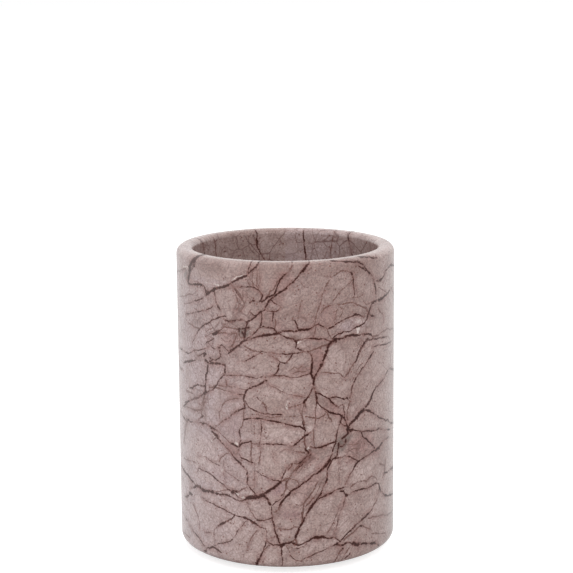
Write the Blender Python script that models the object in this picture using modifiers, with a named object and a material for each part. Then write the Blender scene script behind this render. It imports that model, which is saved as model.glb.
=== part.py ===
"""A turned marble pen cup that stands on four felt pads, each bonded on by a disc of adhesive film.

Lengths are in metres and +Z is up. The origin is on the cup's axis, on the surface under the pads.
"""

import math

import bpy

# Cup body
OUTER_DIAMETER = 0.0750
BODY_HEIGHT = 0.1040
WALL = 0.0058
FLOOR_THICKNESS = 0.0090
RIM_OUTER_ROUND = 0.0025
RIM_INNER_ROUND = 0.0020
BASE_ROUND = 0.0025
BORE_CORNER_ROUND = 0.0030

# Felt pads, and the adhesive film between them and the stone
PAD_COUNT = 4
PAD_DIAMETER = 0.0120
PAD_THICKNESS = 0.0020
PAD_EDGE_ROUND = 0.0004
PAD_SETBACK = 0.0050
FIRST_PAD_ANGLE = math.radians(45)
FILM_THICKNESS = 0.0003
FILM_SETBACK = 0.0004

# Clearances and limits
SEAT_GAP = 0.0003
LEAST_RIM_LAND = 0.0002

# Fineness of the round faces
TURN_STEPS = 96
ROUND_STEPS = 5
PAD_SIDES = 32
PAD_ROUND_STEPS = 2
MERGE_DISTANCE = 0.00001
SHARP_ANGLE = math.radians(40)

# Heights worked out from the stack of pad, film and stone
FILM_BOTTOM = PAD_THICKNESS + SEAT_GAP
BODY_BOTTOM = FILM_BOTTOM + FILM_THICKNESS + SEAT_GAP


def clear_scene():
    """Remove the objects that a new scene starts with."""
    for item in list(bpy.data.objects):
        bpy.data.objects.remove(item, do_unlink=True)


def make_material(name, colour, roughness):
    """A non-metal Principled material of one colour."""
    material = bpy.data.materials.new(name)
    material.use_nodes = True
    shader = material.node_tree.nodes["Principled BSDF"]
    shader.inputs["Base Color"].default_value = (*colour, 1.0)
    shader.inputs["Roughness"].default_value = roughness
    shader.inputs["Metallic"].default_value = 0.0
    return material


def add_part(part, collection, parent, material):
    """Put a finished object in the collection, under its parent, with its material."""
    for holder in list(part.users_collection):
        holder.objects.unlink(part)
    collection.objects.link(part)
    part.parent = parent
    part.data.materials.clear()
    part.data.materials.append(material)


def arc(centre_r, centre_z, radius, start, end):
    """Points of a rounding in the profile plane; angles in degrees, 0 points away from the axis."""
    points = []
    for step in range(ROUND_STEPS + 1):
        angle = math.radians(start + (end - start) * step / ROUND_STEPS)
        points.append((centre_r + radius * math.cos(angle), centre_z + radius * math.sin(angle)))
    return points


def cup_profile():
    """Half section of the cup, from the bore floor's middle over the rim to the underside's middle."""
    outer = OUTER_DIAMETER / 2
    bore = outer - WALL
    rim_room = (WALL - LEAST_RIM_LAND) / 2
    rim_outer = min(RIM_OUTER_ROUND, rim_room)
    rim_inner = min(RIM_INNER_ROUND, rim_room)
    corner = BORE_CORNER_ROUND
    points = [(0.0, FLOOR_THICKNESS)]
    points += arc(bore - corner, FLOOR_THICKNESS + corner, corner, -90, 0)
    points += arc(bore + rim_inner, BODY_HEIGHT - rim_inner, rim_inner, 180, 90)
    points += arc(outer - rim_outer, BODY_HEIGHT - rim_outer, rim_outer, 90, 0)
    points += arc(outer - BASE_ROUND, BASE_ROUND, BASE_ROUND, 0, -90)
    points.append((0.0, 0.0))
    return points


def make_cup_body():
    """The stone cup: its half section turned about the axis."""
    mesh = bpy.data.meshes.new("cup_body")
    points = [(r, 0.0, z) for r, z in cup_profile()]
    edges = [(i, i + 1) for i in range(len(points) - 1)]
    mesh.from_pydata(points, edges, [])
    body = bpy.data.objects.new("cup_body", mesh)
    body.location.z = BODY_BOTTOM
    turn = body.modifiers.new("Turn", "SCREW")
    turn.axis = "Z"
    turn.angle = math.tau
    turn.steps = TURN_STEPS
    turn.render_steps = TURN_STEPS
    turn.use_merge_vertices = True
    turn.merge_threshold = MERGE_DISTANCE
    turn.use_smooth_shade = True
    return body


def make_disc(name, diameter, thickness, edge_round):
    """A flat round disc on its own origin, with its edges rounded if edge_round is more than 0."""
    bpy.ops.mesh.primitive_cylinder_add(vertices=PAD_SIDES, radius=diameter / 2, depth=thickness)
    disc = bpy.context.object
    disc.name = name
    disc.data.name = name
    disc.data.shade_smooth()
    disc.data.set_sharp_from_angle(angle=SHARP_ANGLE)
    if edge_round > 0:
        bevel = disc.modifiers.new("Soft edge", "BEVEL")
        bevel.limit_method = "ANGLE"
        bevel.width = edge_round
        bevel.segments = PAD_ROUND_STEPS
    return disc


def pad_places():
    """Centres of the pads, evenly spaced and set back from the edge of the flat underside."""
    ring_radius = OUTER_DIAMETER / 2 - BASE_ROUND - PAD_SETBACK - PAD_DIAMETER / 2
    places = []
    for index in range(PAD_COUNT):
        angle = FIRST_PAD_ANGLE + math.tau * index / PAD_COUNT
        places.append((ring_radius * math.cos(angle), ring_radius * math.sin(angle)))
    return places


def make_disc_set(name, diameter, bottom, thickness, edge_round):
    """One disc at each pad's place, with its lower face at the height bottom."""
    first = make_disc(f"{name}_1", diameter, thickness, edge_round)
    discs = []
    for index, (x, y) in enumerate(pad_places()):
        disc = first if index == 0 else first.copy()
        disc.name = f"{name}_{index + 1}"
        disc.location = (x, y, bottom + thickness / 2)
        discs.append(disc)
    return discs


def main():
    """Build the cup, its pads and their films."""
    clear_scene()
    collection = bpy.data.collections.new("pen_cup")
    bpy.context.scene.collection.children.link(collection)
    root = bpy.data.objects.new("pen_cup_base", None)
    collection.objects.link(root)

    stone = make_material("veined_stone", (0.35, 0.26, 0.245), 0.3)
    felt = make_material("felt", (0.075, 0.06, 0.052), 0.95)
    film = make_material("adhesive_film", (0.72, 0.68, 0.58), 0.45)

    add_part(make_cup_body(), collection, root, stone)
    for pad in make_disc_set("felt_pad", PAD_DIAMETER, 0.0, PAD_THICKNESS, PAD_EDGE_ROUND):
        add_part(pad, collection, root, felt)
    film_diameter = PAD_DIAMETER - 2 * FILM_SETBACK
    for disc in make_disc_set("pad_film", film_diameter, FILM_BOTTOM, FILM_THICKNESS, 0.0):
        add_part(disc, collection, root, film)


main()
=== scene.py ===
"""Looks of a turned marble pen cup that stands on four felt pads.

Lengths are in metres and +Z is up. A place on the cup's wall is given in degrees round it, where 0 faces the
camera and + is to the right, and in millimetres above the stone's underside.
"""

import logging
import math
from collections.abc import Callable, Iterable
from dataclasses import dataclass
from enum import Enum

import bmesh
import bpy
from mathutils import Matrix, Vector


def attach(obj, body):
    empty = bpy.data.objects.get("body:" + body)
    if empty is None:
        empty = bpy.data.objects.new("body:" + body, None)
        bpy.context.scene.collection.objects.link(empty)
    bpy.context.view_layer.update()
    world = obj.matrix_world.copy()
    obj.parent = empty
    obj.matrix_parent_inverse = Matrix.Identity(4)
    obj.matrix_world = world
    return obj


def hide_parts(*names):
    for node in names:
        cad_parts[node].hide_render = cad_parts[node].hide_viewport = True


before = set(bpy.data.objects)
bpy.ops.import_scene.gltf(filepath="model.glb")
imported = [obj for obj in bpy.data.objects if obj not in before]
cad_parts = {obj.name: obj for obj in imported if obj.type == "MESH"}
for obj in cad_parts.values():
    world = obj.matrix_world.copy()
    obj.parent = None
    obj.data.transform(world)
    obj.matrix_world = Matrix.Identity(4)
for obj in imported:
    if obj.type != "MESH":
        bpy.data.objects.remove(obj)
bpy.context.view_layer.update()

LOG = logging.getLogger("pen_cup")
BODY = "root"
MM = 0.001

# Real sizes that several pieces share
CUP_RADIUS = 0.0375
CUP_BOTTOM = 0.0029
PAD_RING_RADIUS = 0.024
PAD_ANGLES = (45.0, 135.0, 225.0, 315.0)

# Values that several materials share
FLOAT = "NodeSocketFloat"
VECTOR = "NodeSocketVector"
COLOUR = "NodeSocketColor"
WHITE = (1.0, 1.0, 1.0, 1.0)
NOISE_MIDDLE = (0.5, 0.5, 0.5)

Point = tuple[float, float]
Place = tuple[float, float, float]
Colour = tuple[float, float, float, float]
Socket = bpy.types.NodeSocket
Value = float | Colour | Socket

# The two levels between which a value eases, and what comes out below and above them
Band = tuple[float, float, float, float]


def srgb(red: int, green: int, blue: int) -> Colour:
    """Turn a screen colour into the linear colour that a shader takes.

    Args:
        red, green, blue: the screen colour, 0 to 255.

    Returns:
        The linear colour with full alpha.
    """
    def linear(channel: int) -> float:
        """One channel, made linear by the sRGB formula."""
        share = channel / 255
        return share / 12.92 if share <= 0.04045 else ((share + 0.055) / 1.055) ** 2.4

    return linear(red), linear(green), linear(blue), 1.0


class Graph:
    """Adds nodes to one shader tree and wires them as they are added."""

    def __init__(self, tree: bpy.types.NodeTree) -> None:
        """Keep the tree that nodes are added to."""
        self.tree = tree

    def feed(self, node: bpy.types.Node, inputs: dict[int | str, Value]) -> None:
        """Fill a node's inputs.

        Args:
            node: the node.
            inputs: what goes into its sockets: a socket is linked, anything else is set.
        """
        for key, value in inputs.items():
            if isinstance(value, bpy.types.NodeSocket):
                self.tree.links.new(value, node.inputs[key])
            else:
                node.inputs[key].default_value = value

    def node(self, kind: str, inputs: dict[int | str, Value], **settings: object) -> bpy.types.Node:
        """Add a node.

        Args:
            kind: the node's type name.
            inputs: what goes into its sockets.
            settings: the node's own settings.

        Returns:
            The new node.
        """
        node = self.tree.nodes.new(kind)
        for name, value in settings.items():
            setattr(node, name, value)
        self.feed(node, inputs)
        return node

    def math(self, operation: str, first: Value, second: Value = 0.0, third: Value = 0.0) -> Socket:
        """Join values by a Math operation."""
        return self.node("ShaderNodeMath", {0: first, 1: second, 2: third}, operation=operation).outputs[0]

    def vector(self, operation: str, first: Value, second: Value) -> Socket:
        """Join two vectors by a Vector Math operation."""
        return self.node("ShaderNodeVectorMath", {0: first, 1: second}, operation=operation).outputs[0]

    def scaled(self, vector: Socket, factor: Value) -> Socket:
        """Multiply a vector by a number."""
        inputs = {"Vector": vector, "Scale": factor}
        return self.node("ShaderNodeVectorMath", inputs, operation="SCALE").outputs[0]

    def place_on_piece(self) -> Socket:
        """The place on the piece in millimetres, from its Object coordinates."""
        return self.scaled(self.node("ShaderNodeTexCoord", {}).outputs["Object"], 1 / MM)

    def turn(self, x: Socket, y: Socket) -> Socket:
        """The angle about the upright axis in radians, 0 towards the camera and + to the right."""
        return self.math("ARCTAN2", x, self.math("MULTIPLY", y, -1.0))

    def noise(self, vector: Socket, grain: float, detail: float = 2.0, colour: bool = False,
              rough: float = 0.5) -> Socket:
        """Add a 3D noise.

        Args:
            vector: where it is read, in millimetres.
            grain: size of its features in millimetres.
            detail: how many finer layers it has.
            colour: whether three separate values come out instead of one.
            rough: how strong the finer layers are.

        Returns:
            The noise, about 0.5 on average.
        """
        inputs = {"Vector": vector, "Scale": 1 / grain, "Detail": detail, "Roughness": rough}
        return self.node("ShaderNodeTexNoise", inputs).outputs["Color" if colour else "Fac"]

    def bend(self, vector: Socket, place: Socket, bends: Iterable[Point], detail: float) -> Socket:
        """Push a point about by noises.

        Args:
            vector: the point that is pushed.
            place: where the noises are read, in millimetres.
            bends: the grain and the reach of each noise, in millimetres.
            detail: how many finer layers they have.

        Returns:
            The pushed point.
        """
        for grain, reach in bends:
            shift = self.vector("SUBTRACT", self.noise(place, grain, detail, colour=True), NOISE_MIDDLE)
            vector = self.vector("ADD", vector, self.scaled(shift, reach))
        return vector

    def cells(self, vector: Socket, grain: float, feature: str = "DISTANCE_TO_EDGE") -> Socket:
        """Add 3D cells.

        Args:
            vector: where they are read, in millimetres.
            grain: size of a cell in millimetres.
            feature: which distance is measured.

        Returns:
            The distance, in cells.
        """
        inputs = {"Vector": vector, "Scale": 1 / grain}
        return self.node("ShaderNodeTexVoronoi", inputs, feature=feature).outputs["Distance"]

    def ramp(self, value: Socket, low: float, high: float, start: float = 0.0, end: float = 1.0) -> Socket:
        """Ease from start to end while a value runs from low to high.

        Args:
            value: what runs.
            low, high: where the change begins and ends.
            start, end: what comes out below low and above high.

        Returns:
            The eased value.
        """
        inputs = {"Value": value, "From Min": low, "From Max": high, "To Min": start, "To Max": end}
        return self.node("ShaderNodeMapRange", inputs, interpolation_type="SMOOTHSTEP").outputs["Result"]

    def most(self, values: Iterable[Socket], least: Value) -> Socket:
        """The largest of some values, and no less than the least."""
        for value in values:
            least = self.math("MAXIMUM", value, least)
        return least

    def mix(self, share: Value, base: Value, top: Value, blend: str = "MIX") -> Socket:
        """Lay one colour over another by a share from 0 to 1."""
        inputs = {0: share, 6: base, 7: top}
        return self.node("ShaderNodeMix", inputs, data_type="RGBA", blend_type=blend).outputs[2]

    def place(self, group: bpy.types.NodeTree, inputs: dict[int | str, Value]) -> bpy.types.Node:
        """Place a node group."""
        return self.node("ShaderNodeGroup", inputs, node_tree=group)


@dataclass(frozen=True)
class Cloud:
    """A soft noise, eased between two of its levels.

    Attributes:
        grain: size of its features in millimetres.
        detail: how many finer layers it has.
        band: its two levels, and what comes out below and above them.
        rough: how strong the finer layers are.
    """

    grain: float
    detail: float
    band: Band
    rough: float = 0.5

    def noise(self, graph: Graph, place: Socket) -> Socket:
        """The bare noise at a place in millimetres."""
        return graph.noise(place, self.grain, self.detail, rough=self.rough)

    def value(self, graph: Graph, place: Socket) -> Socket:
        """The eased noise at a place in millimetres."""
        return graph.ramp(self.noise(graph, place), *self.band)


class GroupDesign:
    """A node group under construction, with its named inputs and outputs."""

    def __init__(self, name: str, inputs: dict[str, str], outputs: dict[str, str]) -> None:
        """Make the group.

        Args:
            name: the group's name.
            inputs, outputs: the socket type of each named input and output.
        """
        self.tree = bpy.data.node_groups.new(name, "ShaderNodeTree")
        for way, sockets in (("INPUT", inputs), ("OUTPUT", outputs)):
            for label, kind in sockets.items():
                self.tree.interface.new_socket(label, in_out=way, socket_type=kind)
        self.graph = Graph(self.tree)
        self.given = self.graph.node("NodeGroupInput", {}).outputs

    def close(self, results: dict[str, Socket]) -> bpy.types.NodeTree:
        """Wire the results to the group's outputs.

        Args:
            results: the socket that goes to each named output.

        Returns:
            The finished group.
        """
        self.graph.node("NodeGroupOutput", results)
        return self.tree


class MaterialDesign:
    """A material under construction, with its graph and its shader."""

    def __init__(self, name: str) -> None:
        """Make a plain material of that name."""
        self.material = bpy.data.materials.new(name)
        self.material.use_nodes = True
        self.graph = Graph(self.material.node_tree)
        self.shader = self.material.node_tree.nodes["Principled BSDF"]

    def close(self, inputs: dict[int | str, Value]) -> bpy.types.Material:
        """Fill the shader's inputs and give the finished material."""
        self.graph.feed(self.shader, inputs)
        return self.material


def draw_curve(channel: bpy.types.CurveMap, wanted: list[Point]) -> None:
    """Draw straight pieces through the wanted points of one curve."""
    for x, y in wanted[1:-1]:
        channel.points.new(x, y)
    for point, (x, y) in zip(channel.points, wanted):
        point.location = (x, y)
        point.handle_type = "VECTOR"


# Veins of the stone

class Tone(Enum):
    """How a vein is filled."""

    DARK = "Dark"
    RED = "Red"
    PALE = "Pale"


@dataclass(frozen=True)
class Vein:
    """One vein, drawn along its route.

    Attributes:
        tone: how it is filled.
        width: width of its core in millimetres.
        route: its places on the wall, each in degrees round it and millimetres up.
        strength: how strongly it shows, 1 being a full vein.
    """

    tone: Tone
    width: float
    route: tuple[Point, ...]
    strength: float = 1.0

    OVERLAP = 0.5
    FADE = 0.8
    TAPER = 0.7
    LONGEST_TAPER_SHARE = 0.3
    LEAST_DEPTH = 0.72
    DEPTH_PER_MM = 0.42
    OUTSIDE = -3.0

    def depth(self) -> float:
        """How deeply it is filled along its middle: a wide vein is filled more solidly."""
        return self.strength * (self.LEAST_DEPTH + self.DEPTH_PER_MM * self.width)

    def points(self) -> list[Vector]:
        """The route on the unrolled wall in millimetres, a little longer so that it meets its neighbours."""
        radius = CUP_RADIUS / MM
        places = [Vector((math.radians(turn) * radius, height)) for turn, height in self.route]
        longer = self.OVERLAP + self.FADE
        first = places[0] + (places[0] - places[1]).normalized() * longer
        last = places[-1] + (places[-1] - places[-2]).normalized() * longer
        return [first, *places[1:-1], last]

    def value(self, graph: Graph, around: Socket, height: Socket) -> Socket:
        """Add the nodes that say how deep in the vein a point lies.

        They are only number nodes, each used soon after it is made, so that a great many veins fit in one
        shader.

        Args:
            graph: where the nodes go.
            around, height: the point on the unrolled wall, in millimetres.

        Returns:
            The vein's depth on its middle line, falling through 0 one width away and on below 0.

        Raises:
            ValueError: if the route turns back against its own direction.
        """
        places = self.points()
        start = places[0]
        chord = places[-1] - start
        length = chord.length
        along = chord / length
        across = Vector((-along.y, along.x))
        shares = [(place - start).dot(along) / length for place in places]
        offsets = [(place - start).dot(across) for place in places]
        if any(later <= sooner for sooner, later in zip(shares, shares[1:])):
            raise ValueError(f"this vein turns back on itself: {self.route}")
        step = along / length
        share = graph.math("MULTIPLY_ADD", around, step.x, -start.dot(step))
        share = graph.math("MULTIPLY_ADD", height, step.y, share)
        aside = graph.math("MULTIPLY_ADD", around, across.x, -start.dot(across))
        aside = graph.math("MULTIPLY_ADD", height, across.y, aside)
        grey = graph.node("ShaderNodeCombineColor", {0: share, 1: share, 2: share}).outputs[0]
        curve = graph.node("ShaderNodeRGBCurve", {"Color": grey})
        slopes = self.slopes(shares, offsets, length)
        fade = self.FADE / length
        taper = fade + min(self.TAPER / length, self.LONGEST_TAPER_SHARE)
        half = [(0.0, self.OUTSIDE), (fade, 0.0), (taper, self.depth())]
        body = half + [(1 - share, depth) for share, depth in reversed(half)]
        for channel, wanted in zip(curve.mapping.curves, (list(zip(shares, offsets)), slopes, body)):
            draw_curve(channel, wanted)
        curve.mapping.extend = "HORIZONTAL"
        curve.mapping.use_clip = False
        curve.mapping.update()
        parts = graph.node("ShaderNodeSeparateColor", {0: curve.outputs[0]}).outputs
        away = graph.math("ABSOLUTE", graph.math("SUBTRACT", aside, parts[0]))
        return graph.math("SUBTRACT", parts[2], graph.math("MULTIPLY", away, parts[1]))

    def slopes(self, shares: list[float], offsets: list[float], length: float) -> list[Point]:
        """How fast the vein fades sideways at each of its points.

        Args:
            shares: how far along the chord each point is, from 0 to 1.
            offsets: how far to the side of the chord each point is, in millimetres.
            length: the chord's length in millimetres.

        Returns:
            Pairs of share and slope.
        """
        slopes = []
        last = len(shares) - 1
        for index, share in enumerate(shares):
            before = max(index - 1, 0)
            after = min(index + 1, last)
            run = (shares[after] - shares[before]) * length
            rise = offsets[after] - offsets[before]
            slopes.append((share, self.depth() * run / math.hypot(run, rise) / self.width))
        return slopes


@dataclass(frozen=True)
class Fill:
    """How the veins that follow it in a table are filled, and how strongly they show."""

    tone: Tone
    strength: float = 1.0


def drawn(*rows: Fill | tuple[float, ...]) -> tuple[Vein, ...]:
    """Make the veins of a table.

    Args:
        rows: fills, each followed by the veins that have it. A vein is its width and then the degrees and
            millimetres of each place on its route.

    Returns:
        The veins.
    """
    veins = []
    fill = Fill(Tone.DARK)
    for row in rows:
        if isinstance(row, Fill):
            fill = row
        else:
            width, *route = row
            places = tuple(zip(route[0::2], route[1::2]))
            veins.append(Vein(fill.tone, width, places, fill.strength))
    return tuple(veins)


D, R, P = Tone.DARK, Tone.RED, Tone.PALE

LOWER_LEFT = drawn(
    Fill(D),
    (0.85, -73, 26.6, -69, 26.4, -65, 26.2, -62, 25.6, -59.5, 24.9, -57, 24.2, -53, 24.2, -50, 23.9,
        -47, 23.2, -44, 23.5, -38, 23.6, -30.6, 23.7),
    (1.2, -57.5, 24, -55, 24.1, -52, 24.1, -50, 23.8, -48.6, 23.4),
    (1.0, -49, 23.4, -47.2, 23.1, -45, 23.4, -42.4, 23.6),
    (0.4, -30.4, 23.6, -28, 23.2, -25, 22.9, -23.2, 23.3),
    (0.75, -24, 23, -22.6, 23.5, -21.2, 24.3),
    (1.3, -22, 24.3, -20, 24.7, -17.5, 24.6, -15, 24.8, -13.6, 25.6, -11.6, 25.4),
    (0.95, -15, 25.2, -11, 26.7, -8, 27.9, -5.5, 28.9, -3, 30.4),
    (0.75, -15, 25.2, -12, 25.2, -10, 24, -8.4, 22.4),
    (0.45, -11, 9.5, -8, 8.8, -6, 8.4, -4, 8.2),
    (1.05, -4.2, 7.6, -3.2, 8.3, -2, 8.9),
    (0.6, -10.6, 10.4, -11.3, 8, -12.4, 6, -13.8, 4),
    (1.0, -13.2, 4.8, -15.3, 2.4, -17.5, -0.5),
    (0.75, -23.4, 17.6, -20, 16.8, -17, 15.4, -14.2, 14.2),
    (0.6, -28.4, 17.8, -30, 15.8, -33, 14.6, -36, 13.6, -39, 12.5, -41.5, 10.8, -42.6, 8.6),
    (0.8, -30.2, 15.7, -33, 14.6, -36, 13.6, -39.2, 12.4),
    (0.8, -50.5, 1.8, -48, 2.4, -46.5, 3.3, -44.5, 3.9, -42.5, 4.3, -40, 4, -36, 3),
    (0.5, -56, 28.7, -54.5, 29.5, -53, 30.9, -51, 30.6, -48, 30.4, -44, 30, -41, 29.2, -38, 28.4, -35, 27.5,
        -32.5, 26.2, -30.5, 25.8, -28, 25.3, -26, 24.4, -23.4, 23.9),
    (1.5, -28.9, 25.3, -27.8, 25.3),
    (0.85, -28.6, 25.4, -26.6, 25.8, -24.8, 26),
    (0.7, -32.2, 26.2, -30.8, 25.8, -29, 25.4),
    (0.55, -25.2, 25.9, -23.2, 26.8, -20.8, 28),
    (0.5, -24.8, 36.4, -22.5, 34.8, -21, 33.5, -20.6, 32, -20.7, 30, -20.3, 28.5, -19, 27.2, -16.4, 25.6),
    (0.65, -21, 33.6, -20.6, 31.6, -20.5, 29.4),
    (0.65, -15.8, 16.6, -12.5, 16.6, -10, 17, -7.6, 18.1),
    (0.75, -4, 22.3, -2, 23.9, 0, 25.4, 2, 27.3, 5, 28.4, 8, 29.7, 11, 31, 13.5, 32.5, 16.5, 33.2,
        18, 33.8),
    (0.95, 17.4, 33.6, 20, 35, 21.5, 36.2, 22.6, 37.5),
    (0.4, -8, 22.4, -6, 23.5, -4, 24.2, -2, 25.2),
    (1.0, -57.6, 24, -53, 24, -49.4, 23.4),
    (1.0, -48.8, 23.3, -45, 23.4, -41.6, 23.8),
    (0.9, -40, 23.6, -35, 23.8, -30.4, 23.6),
    (1.25, -29.6, 25.2, -28, 25.2),
    (0.55, -28, 25.7, -25, 26.2, -22.6, 27.4),
    (0.7, -42.4, 9, -41.4, 8.9),
    Fill(D, 0.95),
    (0.65, -4, 8.2, -2, 8.9, 0, 9.4, 2, 9.8),
    (0.6, -3.8, 25.3, -1.8, 26.1),
    Fill(D, 0.9),
    (0.45, -3.6, 30, -2, 32.5, -0.5, 34.5, 1.2, 36, 2.8, 36.6),
    (0.5, -5.4, 10.2, -4, 8.2, -3.8, 6, -3.2, 3.5, -2.6, -1),
    (0.45, -20, 17.4, -22.5, 15.5, -24.5, 13.5, -26.5, 11.8, -28.5, 10, -32, 8.2, -36, 6.6, -39, 5.6,
        -42, 5),
    (0.9, -42.2, 8.8, -41.4, 9.1),
    Fill(D, 0.85),
    (0.65, -8, 18.6, -7.4, 15.5, -7, 13, -6, 11.5, -5.2, 10),
    (0.45, -11, 10.1, -9.4, 10.6, -6.8, 11.4),
    (0.4, -34.9, 31.8, -34.5, 30, -34, 28.4),
    (0.55, 22.6, 37.5, 24, 40.4, 25.4, 42.8),
    (0.5, -40.4, 11.4, -42.4, 9.6, -45, 9.4, -48, 8.9),
    Fill(D, 0.8),
    (0.55, -50.5, 20.6, -46, 20, -42, 19.5, -38, 19, -34, 18.6, -30, 17.9, -25.5, 17.6, -23, 17.6,
        -20, 16.8, -17, 15.4, -14, 14.2, -11.6, 13.9),
    (0.45, -16, 34.2, -13, 32.8, -10, 31.8, -7, 31, -3.2, 30.4),
    (0.4, -0.2, 31, -0.3, 29.2, 0.4, 28.1, 1.6, 27.3),
    Fill(D, 0.7),
    (0.5, -8.4, 22.6, -8.2, 20, -8, 18.4),
    Fill(R),
    (0.5, -3.4, 30.2, -1, 31.3, 2.4, 31.8),
    (0.5, 1.6, 9.8, 3.8, 10.6),
    (0.45, -10.7, 9.6, -11, 12, -11.7, 14.4),
    (0.35, -12.2, 6, -9, 8.4),
    (0.4, -42.5, 24, -38, 24.6, -34, 25.4, -31, 26),
    (0.45, -0.6, 32, -0.5, 29, -1.2, 27, -2.1, 25),
    (0.4, -5, 14.2, -2, 14.1, 0, 14.1, 3, 14.4, 6.4, 14.8),
    (0.35, -21.6, 4.6, -20, 9, -18, 11.5, -15.6, 13),
    (0.6, 0.6, 31.6, 3, 33.6, 6.2, 35.6, 9, 37.4),
    Fill(R, 0.9),
    (0.5, -3.6, 22.4, -5, 21, -6.8, 20),
    Fill(R, 0.8),
    (0.4, -20.8, 24.4, -20.5, 21.5, -19, 20, -17.5, 18.8, -16.2, 16.8),
    (0.4, -2.6, 22.6, -4.6, 20.6),
    Fill(R, 0.75),
    (0.4, -34.4, 32.6, -30, 31.2, -27, 30.3, -24.4, 29.8),
    Fill(R, 0.7),
    (0.35, -34.6, 36.2, -34.6, 33.6),
    Fill(R, 0.65),
    (0.4, -17, 37, -16.8, 33, -17, 30, -17.6, 27),
    Fill(R, 0.6),
    (0.35, -41.8, 8.6, -41.6, 7, -40.8, 5),
)

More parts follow.
